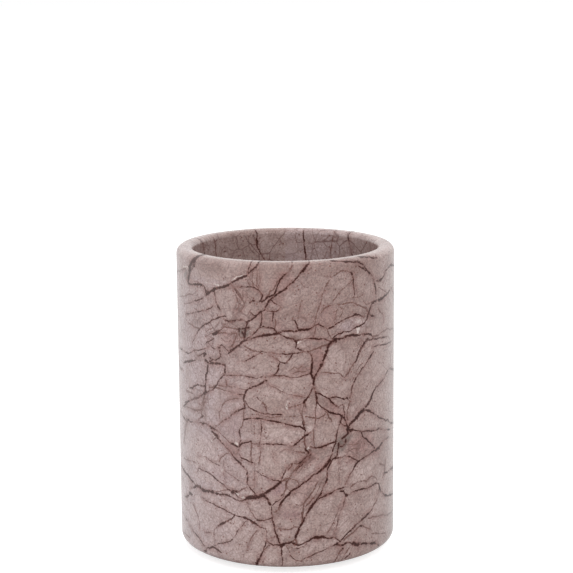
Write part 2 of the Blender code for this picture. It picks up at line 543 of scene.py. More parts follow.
LOWER_RIGHT = drawn(
    Fill(D),
    (0.75, 3.6, 10.8, 4.2, 12.2, 5.2, 13.4, 6.5, 15, 8, 16.8, 9.3, 18.2, 10, 19.8, 11.3, 21.2, 13, 22.5,
        14.5, 23.6, 16, 24.9, 18, 26.1),
    (0.55, 17, 25.2, 18.3, 27.2, 19.5, 28.9, 20.3, 30.5, 20.8, 32.2, 20.9, 33.6, 22, 35, 23.3, 36.8),
    (0.7, 19.4, 24.8, 22, 25.3, 24.5, 25.9, 27, 26.2, 30.4, 26.6),
    (0.6, 39.4, 34.8, 43, 35.4, 46, 35.8, 50, 36.2, 53, 36.4, 55.5, 36.9, 58, 37.7, 61, 38.5, 64, 38.8,
        70, 38.9),
    (0.55, 27.2, 25.5, 30, 24.8, 31.7, 23.3, 33.5, 23.7, 36, 24.3, 39, 24.5, 42, 24.5, 46, 24.4, 50, 24.6,
        54, 24.8, 57, 24),
    (0.6, 31.8, 23.3, 33.5, 23.8, 36, 24.3, 38.4, 24.5),
    (0.6, 1.6, 9.6, 4, 8.6, 6.5, 8.4, 9, 8.9, 11.5, 9.9, 13.5, 10.4, 17.5, 10.4, 20, 10.1, 22.5, 9.6,
        24.5, 9.7, 26.5, 8.8, 28.8, 7.8),
    (0.95, 13.2, 10.4, 15, 10.6, 17.5, 10.4, 19.8, 10.2),
    (0.8, 25.6, 7.7, 27, 6.9, 28.5, 6.7, 30, 6.8, 31.5, 7.3, 33.5, 7.2, 35, 6.6, 36.5, 6.1, 38.5, 5.7,
        40.5, 5.3, 44, 4.8, 47, 4.5, 50, 4.1, 53, 3.7, 55, 2.8, 58, 0.6),
    (1.25, 35.4, 6.4, 37, 6, 39, 5.6, 41.2, 5.2),
    (1.0, 25.8, 7.4, 27.2, 7, 29, 6.7),
    (1.1, 31, 23.9, 32.6, 23.1),
    (0.85, 34, 10.8, 36.8, 11.6),
    (0.85, 41, 13.4, 44.4, 14.5, 48, 15.6),
    (0.8, 37.6, 12.5, 40, 12.9),
    (0.85, 40.6, 11.5, 42.2, 11.8),
    (0.7, 29.3, 6, 29.6, 5.2),
    (0.6, 27.4, 7.9, 30, 9, 32, 9.9, 34, 10.8, 36.5, 11.5, 38.5, 12.7, 40.5, 13.2, 43, 14.1, 45.5, 14.8,
        47.7, 15.5, 50, 16.5),
    (0.6, 30.8, 1.4, 32.5, 2.5, 34, 3.2),
    (0.75, 56.5, 24.8, 56.8, 22.6, 58.5, 21.4, 61, 20.2, 63.5, 18.9, 66, 18.2, 70, 17.8, 74, 16.9,
        80, 16.1),
    (0.85, 44.4, 4.8, 50, 4, 54.4, 3.1, 57.6, 1.6),
    Fill(D, 0.95),
    (0.5, 14.4, 23.6, 17, 24.2, 19.6, 24.8),
    (0.6, 33.8, 30.4, 35.6, 31.5, 37, 33),
    (1.05, 52.6, 36.3, 56.4, 36.9, 60.4, 38.2, 64, 38.8),
    (0.45, 3.8, 3.2, 7, 3.1, 9, 3.8, 12, 4.3, 15, 5.2, 18, 5.7, 21, 6.4, 24, 7, 27, 7.4),
    Fill(D, 0.9),
    (0.9, 36.8, 32.8, 38.2, 34.2, 40, 34.9),
    (0.4, 0.2, 5.3, 2, 4.1, 4.4, 3.2),
    Fill(D, 0.85),
    (0.45, 7.2, 19.8, 7.1, 17.4),
    (0.7, 60, 24.6, 62.5, 26.8, 66, 26.5, 70, 26.5, 79, 26.1),
    Fill(D, 0.8),
    (0.45, 3.6, 7.4, 5.5, 7.2, 8, 7.6, 10.4, 8.7),
    Fill(D, 0.75),
    (0.5, 31.6, 23.4, 30.5, 21.8, 29.4, 19.8, 28, 18.2, 27, 16.5, 26.3, 14.5, 25.3, 12.2, 24.5, 10.2),
    Fill(R),
    (0.4, 27.8, 20.8, 26.2, 17.8, 24.5, 16, 22.5, 13.5, 19.8, 10.2),
    (0.5, 30, 8.2, 33, 9.2, 36, 10, 38.5, 11, 40.2, 11.6, 42, 11.8, 44, 10.9, 46.5, 10, 49.5, 9.3),
    (0.5, 29.6, 6, 27.5, 4.2, 26, 2.6, 24.6, 0.4),
    (0.4, 35.4, 6.4, 32.5, 4.5, 30.5, 3, 28.6, 0.6),
    (0.5, 7, 22, 9.5, 23.5, 11.5, 25.8, 13.5, 28, 15.4, 30),
    (0.4, 9.5, 21.6, 13, 24.5, 15.5, 27, 17.4, 29.2),
    (0.6, 7.1, 16.2, 7.4, 18.6, 8.2, 20.5, 8.6, 22.6),
    (0.4, -0.2, 27.6, 0, 30.5, 1.2, 31.7, 3.4, 31.6),
    (0.4, 2.4, 31.7, 5, 30.9, 6, 29.2),
    (0.9, 62.4, 26, 63.6, 28.5, 64, 31.6),
    (0.6, 57, 31.4, 60.5, 30.2, 63.4, 29.4),
    (0.5, 34, 25.8, 37.5, 27, 42, 27.4, 46, 27.2, 50, 27.9, 53, 27, 55.2, 25.4),
    (0.5, 47, 13.5, 52, 13.3, 56, 12.9, 60, 12.4, 64, 11.4, 72, 10.6),
    (0.4, 49.5, 7.6, 54, 7, 58, 6, 64, 4.8),
    Fill(R, 0.85),
    (0.7, 3.7, 11, 4.3, 9.8, 4.4, 8.6),
    Fill(R, 0.75),
    (0.55, 31, 26.8, 32.4, 28.8, 34, 30.6),
    (0.7, 49.6, 16.2, 53, 18.5, 55, 20.3, 57, 22.6),
    Fill(R, 0.7),
    (0.35, 27.4, 36.4, 27.1, 32, 27.6, 27.4),
    Fill(R, 0.65),
    (0.5, -1.2, 8.2, 0.2, 6.3, 1, 5),
)

LOWER_FAR_LEFT = drawn(
    Fill(D),
    (1.0, -61, 20.6, -64.4, 20),
    (0.7, -71, 9.4, -66, 9, -62, 7.7, -58, 6.8, -55, 5.9, -52.5, 5.3, -51, 4.2, -48.6, 3.4),
    Fill(D, 0.9),
    (0.65, -60, 20.7, -63.5, 20, -66, 18.8, -71, 17.4),
    Fill(D, 0.85),
    (0.8, -56, 23.7, -60, 22.8, -63.5, 22.1),
    Fill(D, 0.75),
    (0.4, -55, 35.2, -51, 35.4, -47, 35.6, -44, 35, -41, 34.3, -37.5, 34),
    (0.45, -41.6, 10.4, -43, 9.6, -45, 9.5, -47, 9, -48.6, 8.9, -50.4, 9.8),
    Fill(R),
    (0.6, -60, 17, -56.5, 14.5, -54.5, 13, -54, 11.5, -52.8, 9),
    (0.6, -77, 3, -72, 3.6, -65, 3.9),
    (0.5, -72, 31.1, -66, 31.7, -62, 31.9, -56.5, 32.2),
)

MIDDLE_LEFT = drawn(
    Fill(D),
    (0.95, -46.5, 69.4, -43, 68.5, -38, 69, -35, 69.1, -31.6, 69.1),
    (0.9, -43.4, 69.2, -40.4, 69.9, -37.6, 70.5, -35.6, 71.4),
    (0.6, -32, 70, -32.2, 67.3, -32.8, 66, -34.5, 64.8, -36.5, 63.4, -38, 61.8, -40, 60.4, -42, 59.4,
        -44, 59, -46, 58, -48, 57.5, -50.5, 56.3, -52.5, 55.2, -55, 54.6, -57, 54.2, -60, 53.2, -63, 52.4,
        -66, 51.3, -72, 49.6),
    (0.65, -9.2, 65, -11.5, 63.9, -13, 63.5, -16, 62.9, -18.5, 62, -20.5, 61.2, -21.6, 60, -22.2, 58.5,
        -22.7, 56.8),
    (1.35, -10.4, 64.5, -9.6, 64.7),
    (0.5, -22.7, 58.2, -22, 56, -21.5, 54.2),
    (0.7, -21.8, 54.6, -24, 54, -26.5, 53.5, -28.6, 52.8, -30, 51.8),
    (0.65, -30.6, 51.4, -33.4, 50.2),
    (0.6, -22, 57.6, -20.6, 56, -20, 55.4, -18, 54.6, -15, 53.9, -12, 53.6, -9, 53.5, -6, 53.5, -2, 53.5),
    (0.6, -22.8, 51, -19, 51.2, -16.5, 51.6, -14, 51.8, -11, 51.4, -8, 51.2, -5, 51, -2, 50.7, 0, 50.2,
        2, 49.9, 4, 49.5, 6, 49.3, 8, 48.8, 10, 47.5),
    (0.6, -24.4, 47.2, -24.6, 46, -24.2, 44.8),
    (0.65, -18.6, 43.9, -21.5, 43, -23.5, 42.3, -25, 41.6),
    (0.65, -25, 41.5, -27.5, 42, -29.8, 42.7),
    (0.8, -42.4, 45.2, -40.5, 44.6, -38.8, 44, -37.5, 43.1, -35.5, 42.1, -33, 41.1, -31, 40.4, -29.8, 39.6,
        -28.5, 38.2, -27, 37, -25, 36),
    (0.6, -25.4, 36.2, -22.6, 34.7),
    (0.6, -38.2, 43.8, -41.2, 42.3),
    (1.2, -40, 44.5, -38.6, 43.9, -37.6, 43.2),
    (0.5, -24.6, 38.2, -21.5, 37.5, -20, 37, -17.6, 36.7),
    Fill(D, 0.95),
    (0.7, -50, 46.5, -47, 47.2, -44.5, 47, -42, 46.3, -40, 46.2, -38, 45.7),
    Fill(D, 0.9),
    (0.5, -33, 65.7, -28, 65.8, -25, 66.2, -23, 66.4, -20, 66, -17, 65.6, -15.3, 65.4, -13, 66, -10, 66.4,
        -7, 66.5, -4, 66.6, -1, 66.8, 2, 66.2, 5, 66, 8, 66.4, 10, 66.8, 13.2, 66.9),
    (0.5, -21.4, 59.6, -24, 59.5, -26.4, 59.6),
    (0.4, -2.6, 61.2, 1.4, 60.2, 5, 59.8, 8.6, 59),
    Fill(D, 0.85),
    (0.4, -24.4, 45.4, -23.8, 43.8, -24.5, 41.8),
    (0.5, -13.2, 50.4, -13.3, 48),
    (0.45, -19, 43.2, -14, 43.3, -10, 43.4, -6, 43.2, -2, 43.2, 1, 42.9, 3.5, 42.8, 5.5, 43.6, 8, 45.3,
        10, 46, 12.8, 47.7),
    (0.4, -15.4, 59.4, -12.4, 57.6, -10.4, 55.6, -9.8, 53.8),
    Fill(D, 0.7),
    (0.45, -32.2, 64, -31.4, 62.2),
    Fill(D, 0.6),
    (0.4, -38, 61.6, -33, 62, -27.4, 61.8, -22.4, 61.2),
    Fill(R),
    (0.5, -38.4, 61.6, -41, 60.6, -44, 60.1),
    (0.45, -30.4, 39, -33.5, 38.2, -35.5, 37.2, -38, 35.2),
    (0.45, -24.4, 42, -25.5, 40, -27.6, 39),
    (0.45, -18.2, 42.8, -18.5, 39.6, -18.7, 37),
    Fill(R, 0.9),
    (0.5, -46.8, 57, -48.6, 55, -49, 53, -50.2, 51.4, -49.6, 49.4),
    (0.4, -29.4, 39.7, -27.6, 39.3, -25.8, 39.9, -24.6, 41),
    (0.45, -25, 58.3, -29, 57.5, -32, 56.6, -34.6, 55, -36.2, 52.6, -36.8, 50),
    (0.45, -13.3, 50.6, -13.4, 47, -14, 43.6, -13.7, 40),
    Fill(R, 0.85),
    (0.4, -18.6, 43.8, -18.3, 41, -18.2, 38.5, -18.7, 35.8),
    (0.4, -48.6, 57, -48, 53.6, -49.4, 51),
    (0.4, -46.6, 55, -49.6, 53.2, -52.4, 53.6),
    (0.4, -26, 39.8, -24.4, 38.4, -23, 37.6),
    Fill(R, 0.8),
    (0.45, -22, 55.2, -22.4, 52.5, -22.3, 50.5, -23, 48.8, -24.4, 47.2),
    (0.45, -29.6, 42.7, -33, 44, -36, 45, -39.6, 45.9),
    Fill(R, 0.75),
    (0.4, -10, 64.2, -6.5, 62.6, -4, 61.7, -1.5, 60.8, 1, 60.3, 4, 59.9, 7, 59.2, 10, 58.7),
    (0.35, -14.8, 59.2, -12.6, 57.9, -10.6, 56.6, -9.8, 55.2),
    (0.45, -33, 50.4, -36, 48.7, -38, 47.5, -41, 45.9),
    (0.45, -13.2, 51.4, -13.2, 48, -13.6, 46, -14, 44, -13.6, 42, -14, 39.5, -14.2, 36),
    Fill(R, 0.7),
    (0.5, -21.2, 59.5, -24, 59.5, -26, 59.6, -29, 60.1, -33, 60.4, -40, 60.8),
    (0.5, -31.6, 63.8, -31.4, 62),
    (0.5, -15, 53, -8, 52.4, -2, 52.7, 4.5, 53),
    (0.35, 1.4, 68.2, 4, 69.4, 6, 68.6, 8.4, 69.6),
    (0.35, 3, 67.4, 6.4, 67.9, 10.6, 67.6),
    Fill(R, 0.65),
    (0.4, -20.4, 61.3, -24, 61.3, -27, 61.7, -32, 61.9, -37, 61.4),
    Fill(R, 0.55),
    (0.5, 2, 41.7, -2, 41.2, -4, 40.3, -5.5, 39.3, -6.2, 37),
)

MIDDLE_RIGHT = drawn(
    Fill(D),
    (0.75, 12.9, 73.6, 13.1, 71, 12.7, 69, 12.6, 67, 13.5, 65.6, 14, 64.5, 14, 63, 14.3, 61.5),
    (0.65, 14.1, 62, 14.8, 60, 15.2, 58.3, 15.3, 56.4),
    (0.65, 14.4, 63, 12.5, 61, 11.5, 59.6, 10.2, 58.3, 8.6, 56.6),
    (0.65, 17.6, 70.8, 16.8, 68.5, 16, 67.5, 15, 66.2, 13.8, 64.6),
    (0.5, 15, 60.4, 18, 59.5, 20, 58.6, 22.3, 57.7),
    (0.6, 22, 57.9, 24, 56.3, 25.7, 55, 27.3, 54.5, 29, 54.9, 31, 54.8),
    (0.6, 14.8, 57.8, 16.8, 56, 18.5, 55, 20.5, 54, 22.5, 53, 25, 52.4, 28, 51.9, 30.8, 50.8),
    (0.6, 31, 51.6, 31.8, 49.7, 32.6, 47.6),
    (0.75, 32.8, 47.9, 35, 48.9, 37.6, 50),
    (1.2, 37.2, 49.9, 39.4, 50.9, 41.5, 51.6, 44.2, 52.2),
    (1.05, 44.4, 52.5, 46.5, 53.6, 48.5, 54.8, 50.6, 56.4),
    (1.2, 34.6, 46.7, 35.6, 45.8),
    (0.85, 43, 52.1, 46.5, 51.2, 50, 50.2, 52.4, 49.4),
    (0.8, 32.6, 48.6, 33, 46.4, 33, 45.4, 31.5, 44.7, 29.4, 43.6),
    (1.25, 32.8, 47.6, 33.3, 46.2),
    (0.7, 31.2, 42.2, 32, 43.4),
    (0.6, 27.8, 41, 30, 41.2, 31.4, 42),
    (0.55, 29.9, 51.8, 28.5, 49, 27, 47, 26.2, 45.3, 25.8, 43.5, 25.3, 42),
    (0.5, 28, 49.8, 31, 48.3, 33, 47.9),
    (0.7, 26.2, 43.1, 23, 42.6, 20, 41.9, 17.5, 41.5, 15, 41.4, 11.8, 41.9),
    (0.8, 4.8, 40.8, 7, 40.4, 9.2, 40),
    (0.9, 9.2, 41.8, 10, 40.6, 10.6, 39.4),
    (0.65, 10.6, 39.8, 9, 38.2, 7.4, 37, 6, 36.3),
    (0.6, 24.4, 37.1, 26, 38, 26.8, 39, 26.9, 40.5, 27.3, 42.6),
    (1.0, 36, 62.2, 36.7, 62.6),
    (1.0, 39.9, 64.9, 40.6, 65.4),
    (0.6, 36.8, 68.8, 38.5, 70.4, 39.8, 71.7),
    (1.05, 39.6, 71.5, 41.5, 73.3, 43.5, 74.5, 46.8, 76),
    (0.6, 41.4, 45, 42.6, 43.3, 44, 42, 46.5, 40.8, 48.5, 39.7, 50.5, 38.5, 52.5, 37.3, 54.2, 36.2),
    (0.6, 5.2, 40.8, 7.4, 40.4, 9, 39.8),
    (0.7, 7, 36.8, 9.4, 38.2, 10.4, 40),
    (0.6, 8.8, 36.6, 11.2, 38.2, 11.8, 40),
    (0.95, 38.4, 70.8, 41.6, 73, 44.4, 75),
    (0.55, 24, 58.3, 26.6, 58.4, 29, 57.4, 31, 57.1),
    (0.5, 31, 57.1, 32.4, 57.4, 33.8, 56.4),
    (0.5, 25.4, 55.4, 27.4, 54.8, 29.8, 54.9),
    Fill(D, 0.95),
    (0.5, 30.5, 55, 30.7, 53, 31, 51.5),
    (0.8, 45.6, 44.5, 49, 43.9, 52.4, 43.5),
    (0.6, 12.2, 39.4, 10.6, 37.8, 8.6, 36.6, 6.4, 35.2, 4.6, 34),
    (0.6, 3.8, 43, 6, 44, 8.4, 45.4, 10.2, 46.2, 12.4, 47.4),
    (0.65, 34.5, 56.4, 34.9, 60, 35.8, 61.7, 36.8, 62.8, 39, 64.8, 40.5, 65.4, 42, 66.8, 44, 67.6, 46, 68.6,
        48.5, 69.8, 51.4, 71.3),
    Fill(D, 0.9),
    (0.45, 22, 57.9, 25.5, 58.6, 27.5, 58, 29.5, 57.2, 31, 57, 32, 57.3, 33.3, 56.7, 34.6, 55.4),
    (0.75, 42.6, 51.6, 45, 52.7, 47, 54, 49, 55.5, 51, 56.7, 53, 58, 55.5, 58.8, 58, 59.5, 61, 60.2,
        64, 61.6, 67, 62.3, 70, 62.6, 78, 61.1),
    (0.65, 50, 50.2, 53, 49.2, 55.5, 48, 58, 47, 61, 46.2, 63.5, 45.2, 67, 45, 70, 43.5, 76, 42.2),
    (0.6, 32.8, 47.2, 35.5, 46.3, 38, 45.7, 40, 45.2, 42.5, 45, 46, 44.4, 50, 43.8, 53, 43.5, 57, 43.5,
        61, 42.7, 64, 41.8, 72, 40.9),
    (0.7, 3, 36.6, 2, 35.5, 0.5, 34),
    (0.5, 11, 41.4, 11.9, 40),
    (0.55, 21.8, 34.4, 23.2, 36.5, 23.8, 37.3, 25, 37.3, 28, 37.3, 31, 37.5, 33.5, 36.9, 36, 35.8,
        39.2, 34.9),
    Fill(D, 0.85),
    (0.5, 7.9, 51.2, 8.4, 49.4, 9.2, 48),
    Fill(D, 0.75),
    (0.45, 9.2, 48.2, 9.4, 46, 9.5, 44, 9.4, 42),
    Fill(R),
    (0.5, 34.3, 56.4, 33.5, 54.5, 33, 53, 32.6, 50),
    (0.5, 19.4, 54, 22, 52, 24, 50),
    (0.45, 13.6, 48.4, 13.8, 45, 14, 42.5, 14, 41),
    (0.45, 15, 57, 14.8, 53, 14.5, 50.5, 13.6, 47.4),
    (0.4, 9.6, 52.4, 13, 52, 16.5, 51.8, 18.5, 52.5, 21, 53.6),
    (0.4, 18, 67, 22, 66.7, 25, 66.3, 28, 66.2, 30.2, 64.6),
    (0.55, 9.2, 45.4, 9.6, 43, 9.8, 41),
    (0.5, 9.4, 57.4, 8.4, 54.8, 8, 52.4, 8.8, 49.6),
    Fill(R, 0.9),
    (0.45, 5, 34.2, 3.6, 33.2, 1.6, 32.7),
    (0.45, 6.2, 36.3, 3.6, 36.5),
    Fill(R, 0.85),
    (0.45, 7.6, 56.6, 7, 54.6, 7.6, 52.8, 8, 51, 8.6, 49.2),
    Fill(R, 0.8),
    (0.4, 9.4, 57.6, 9.7, 55.4, 9, 53.4),
    (0.5, 30.2, 64.4, 33, 66, 35, 68, 38, 69.7),
    Fill(R, 0.75),
    (0.45, 0, 55.5, 4, 56, 7, 56.5, 9.8, 57.3),
    Fill(R, 0.7),
    (0.4, 35.4, 63, 38, 66, 41, 68, 44.6, 69.8),
    (0.35, 31, 38.4, 36, 39.4, 40.6, 39),
    (0.35, 33.6, 41.2, 37.4, 40.6, 44, 41),
    (0.35, 36.6, 37.2, 41, 37.9, 45.4, 37.5),
)

MIDDLE_FAR_LEFT = drawn(
    Fill(D),
    (0.6, -43.4, 69.2, -44.3, 66.5, -45, 64.5, -45.7, 62.5, -46, 60.5, -47.2, 57.6),
    (0.7, -46, 60.4, -50, 60.2, -53, 60, -55.5, 59, -57.5, 58.2, -62, 57.5),
    (1.0, -43.4, 68.4, -41, 69, -37.6, 69.2),
    (0.8, -42.8, 70.3, -40.4, 70, -37.4, 70.5, -35.4, 71.6),
    (0.75, -48, 49.7, -50.5, 48.7, -53.2, 47.7),
    (1.2, -48.2, 57.3, -46.6, 58.2, -45.4, 58.7),
    (0.55, -70, 65.5, -64, 66.6, -60, 67.3, -56, 68, -54, 68.6, -51.5, 70.2, -48, 71.3, -45, 71.8),
    (0.8, -67, 66.1, -62, 67, -57, 67.9),
    Fill(D, 0.95),
    (0.6, -48.5, 57.4, -53, 55.4, -56, 54.8, -60, 53.6, -63, 52.6, -68, 51.6),
    Fill(D, 0.8),
    (0.6, -48.4, 46.9, -53, 46.9, -55, 46.6, -57, 46.9, -60, 46, -63, 46.4, -67, 44.6),
    Fill(R),
    (0.6, -58, 56.2, -62, 56.2, -66, 56),
    (0.5, -49, 51.8, -53, 51, -57, 50.7, -62, 50.7, -69, 49.9),
    (1.0, -65.2, 46.6, -66.5, 44, -68, 42, -69.5, 40, -72, 36.4),
    (0.7, -77, 62.1, -73, 62.6, -69, 63),
)

UPPER_LEFT = drawn(
    Fill(D, 1.1),
    (1.6, -51.6, 106, -54, 103, -56, 101.6, -57.5, 100.6, -59, 99.4),
    (1.5, -53.4, 104, -54.1, 102, -54.3, 100),
    Fill(D),
    (0.75, -60.5, 93.9, -56, 94.2, -52, 94.6, -48.5, 94.9, -46.5, 94.6, -44.8, 93.4, -43.4, 92.3, -42, 92.8,
        -40.5, 93.5, -38.5, 93.8, -36, 94.3, -34, 94.9, -32, 95.3, -30, 95.8, -28, 96.6, -25, 97.7,
        -22, 98.8, -19, 99.7, -17.5, 100.5, -15.5, 101.7, -14, 103, -13.2, 106),
    (0.9, -44.4, 91.5, -43.2, 92.2, -41.4, 92.9),
    (0.65, -46.4, 94.5, -45.2, 93.2, -44.4, 91.5),
    (1.05, -41, 93.5, -38, 93.9),
    (1.1, -33, 95.2, -31, 95.6, -29.4, 96.1),
    (0.45, -18.7, 99.4, -18.3, 102, -18, 105),
    (0.55, -38.6, 93.2, -38, 90.4, -37, 89, -35, 87.2),
    (0.55, -32.4, 83.9, -29, 83.8, -27, 84.3, -25, 84.8, -22.5, 84.7, -19.8, 84.1),
    (0.8, -30.6, 83.7, -28, 83.8, -25.6, 84.5),
    (1.0, -40.2, 78.7, -38, 79.6, -35.4, 80.6),
    (0.5, -38.2, 74, -36, 75.1, -34, 75.5, -32, 74.5, -30, 73.7),
    (0.8, -36.9, 74.6, -35.7, 72.8, -34.8, 71.2),
    (0.75, -31, 72.8, -28, 74.6, -26, 75.5, -24.2, 76, -22.8, 77, -21.5, 77.9, -19.5, 78.2, -17.5, 78.7,
        -15, 79.5, -12.5, 80.1, -10, 80.3, -7, 80.5, -4, 80.7, -1, 81.2, 1, 81.5, 4, 81.1, 7, 81.7,
        10, 81.9, 12.5, 81.8, 15, 82.8, 17, 83.5),
    (0.65, -22, 77.2, -21.4, 79.5, -20.6, 80.5, -20.5, 82, -20.3, 83.5, -19.5, 84.6, -17.5, 85.3,
        -15.8, 85.9, -14, 87, -12.5, 87.8, -10.5, 88.5, -9.3, 90, -8.5, 91.3, -7.3, 92.4, -5, 93.5,
        -2.5, 94.7, 0, 95.7, 2, 97, 4, 98, 6, 99.3, 8, 100.8, 10, 102, 12, 103, 14.5, 105.5),
    (0.5, -21, 78.2, -18, 79.3, -16, 80.5, -14.5, 81.7, -13, 83, -12, 84.8, -11.7, 86.5, -11.8, 88.4),
    (0.55, -10.4, 83, -7, 82.6, -5.5, 82, -3.8, 80.7, -2, 79.8, 0, 79.3, 2, 79, 4.9, 78.3, 8, 78.5,
        11, 78.8, 14, 78.5, 17, 78.2, 20, 78.1, 23.6, 77.5),
    (0.5, -13.4, 82.6, -11.4, 83.3, -9.6, 82.8),
    (0.55, -7.6, 92, -5.5, 94.5, -4.5, 96, -3.5, 97.8, -2.5, 99, -1, 100, 2, 101.3, 3.5, 102.7, 4.4, 105.5),
    (0.6, -13.6, 91.2, -11.5, 91.3, -10, 92, -8.5, 93, -6.4, 93.7),
    (0.75, -24.3, 82, -24, 80, -22.6, 78.2),
    (0.85, -20.6, 82.4, -20.9, 80.2, -21.6, 78),
    (0.8, -22.6, 81, -20.6, 79.2),
    (0.9, -37, 74.2, -35.4, 74.8),
    (0.5, -18.8, 87.7, -16.5, 86.7, -14.4, 86.2),
    (0.7, -18.6, 90.2, -15.8, 91.4),
    (0.8, 2.6, 102, 3.8, 103.4),
    (0.7, 2, 79, 3.4, 78.8, 4.8, 77.8),
    (0.55, -17, 72.6, -14, 74, -11.6, 74.8),
    (0.45, -7.4, 73.4, -4.6, 71.8),
    (0.45, 0.2, 70.6, 1.6, 72.2, 3, 73.8),
    (0.5, 8.6, 74.7, 11, 74.4, 12.6, 73, 13, 71),
    (0.5, -38.2, 91.6, -37.4, 89.8, -36, 88.4),
    (1.1, -37.2, 74.7, -35.9, 74.2),
    (0.7, -20, 82.5, -18.2, 82.7),
    Fill(D, 0.95),
    (0.55, -57.2, 74.1, -55, 75.7, -53, 77, -51.2, 78.5, -48.5, 80.2, -46.5, 81, -44, 82.2, -41, 83.5,
        -39, 84.1, -36, 84.8, -33, 85.2, -31, 85.4),
    Fill(D, 0.9),
    (0.7, -54.4, 100.4, -55.4, 99.4, -57, 98.6, -59.6, 98.3),
    (0.5, -12.8, 95, -11.6, 93.4, -12.4, 91.4),
    (0.55, -24.2, 81.6, -22, 82, -20, 82.6),
    (0.5, -26.8, 94.8, -23, 95.5, -20, 95.7, -17, 95.8, -13, 94.8),
    (0.45, -7.6, 92.1, -5, 90.8, -3.5, 90.2, -2, 89.5),
    (0.45, -2.2, 90, -4, 88.5, -6, 88, -10.2, 88.4),
    (0.45, -5.8, 88.4, -6.8, 86.5, -6.9, 84.6),
    (0.5, -25, 70.7, -21.5, 71.2, -19, 71.8, -16.5, 72.8, -14, 74, -12, 74.7, -9, 74.5, -6, 74.2, -3, 74,
        0, 73.6, 3, 74, 6, 74.2, 9.5, 74.5, 11.5, 74.2, 12.8, 72.8, 13.3, 70.8),
    (0.4, -9.4, 74.2, -6.5, 72.8, -4.5, 72, -2.5, 71, -0.5, 70.7, 1.2, 72, 3, 73.5),
    (0.5, -3.7, 71.2, -4.3, 68.3, -5, 67.3, -8, 66.4),
    Fill(D, 0.85),
    (1.2, -57.6, 100.4, -58.6, 97.5, -59.6, 95.6, -60.4, 94),
    (0.45, -28.8, 96.3, -26.5, 95, -25, 94.2, -22.9, 92.2),
    Fill(D, 0.8),
    (0.45, -60.6, 96.3, -57, 95.4, -54, 95.3, -49, 95.5),
    (0.45, -34.6, 81, -32, 82, -29, 81.9, -26, 81.3, -23.6, 81.9),
    (0.4, -24.4, 79.4, -26.6, 77.6, -28.4, 75.8, -30.4, 75.6),
    Fill(D, 0.75),
    (0.45, -35.6, 80.2, -33.6, 79.5, -30, 79.7, -27.4, 80.2, -24.6, 79.6),
    Fill(D, 0.6),
    (0.4, -20.4, 94.6, -20.2, 92, -20.6, 89.6),
    (0.4, -22.6, 91.6, -24.6, 88.6, -26.6, 86),
    (0.4, -18.4, 100, -19, 97.8, -18.2, 95.8),
    (0.4, -13.2, 100.6, -12.6, 98, -13.4, 95.6),
    Fill(R),
    (0.5, -36.4, 80.2, -33.5, 81.6, -30, 82, -27.5, 81.4, -25, 81.5, -21.8, 82),
    (0.45, -37, 79.3, -33, 79.8, -29, 79.5, -25, 80),
    (0.45, -25, 79.8, -26.5, 77.8, -28, 75.6),
    (0.45, -10.4, 91.6, -8, 94.5, -6, 96, -4.2, 98),
    (0.4, -31.4, 84.4, -32.6, 82.6, -35.2, 80.8),
    (0.4, -5.5, 85.8, -5, 83.5, -5.4, 81.6),
    (0.45, -21, 76.4, -17.5, 75, -15, 74.7, -11.5, 74.7),
    Fill(R, 0.9),
    (0.4, -25.6, 95, -23.4, 93.6, -22.2, 91.2),
    (0.4, -15.8, 101, -16.8, 98.6, -16, 96, -14.6, 95.2),
    Fill(R, 0.8),
    (0.35, -35, 78, -31.6, 77, -28.6, 77.4),
    (0.35, -45, 79, -41.6, 80.4, -38.4, 82),
    (0.4, -20, 95.4, -19.6, 92.6, -17.4, 90.8),
    (0.35, -45.6, 77.2, -42.6, 78.2, -40.4, 79),
    (0.4, -21.4, 95.2, -22, 92, -21.4, 89.4, -23, 87.2),
    Fill(R, 0.7),
    (0.5, -13.8, 105, -13.3, 102, -14.2, 99, -14.4, 96.4, -12.8, 94.6, -12, 93, -11.6, 90.8),
    (0.4, -25.2, 93.6, -24.4, 90.6, -26.4, 87.4, -28, 85.2),
)

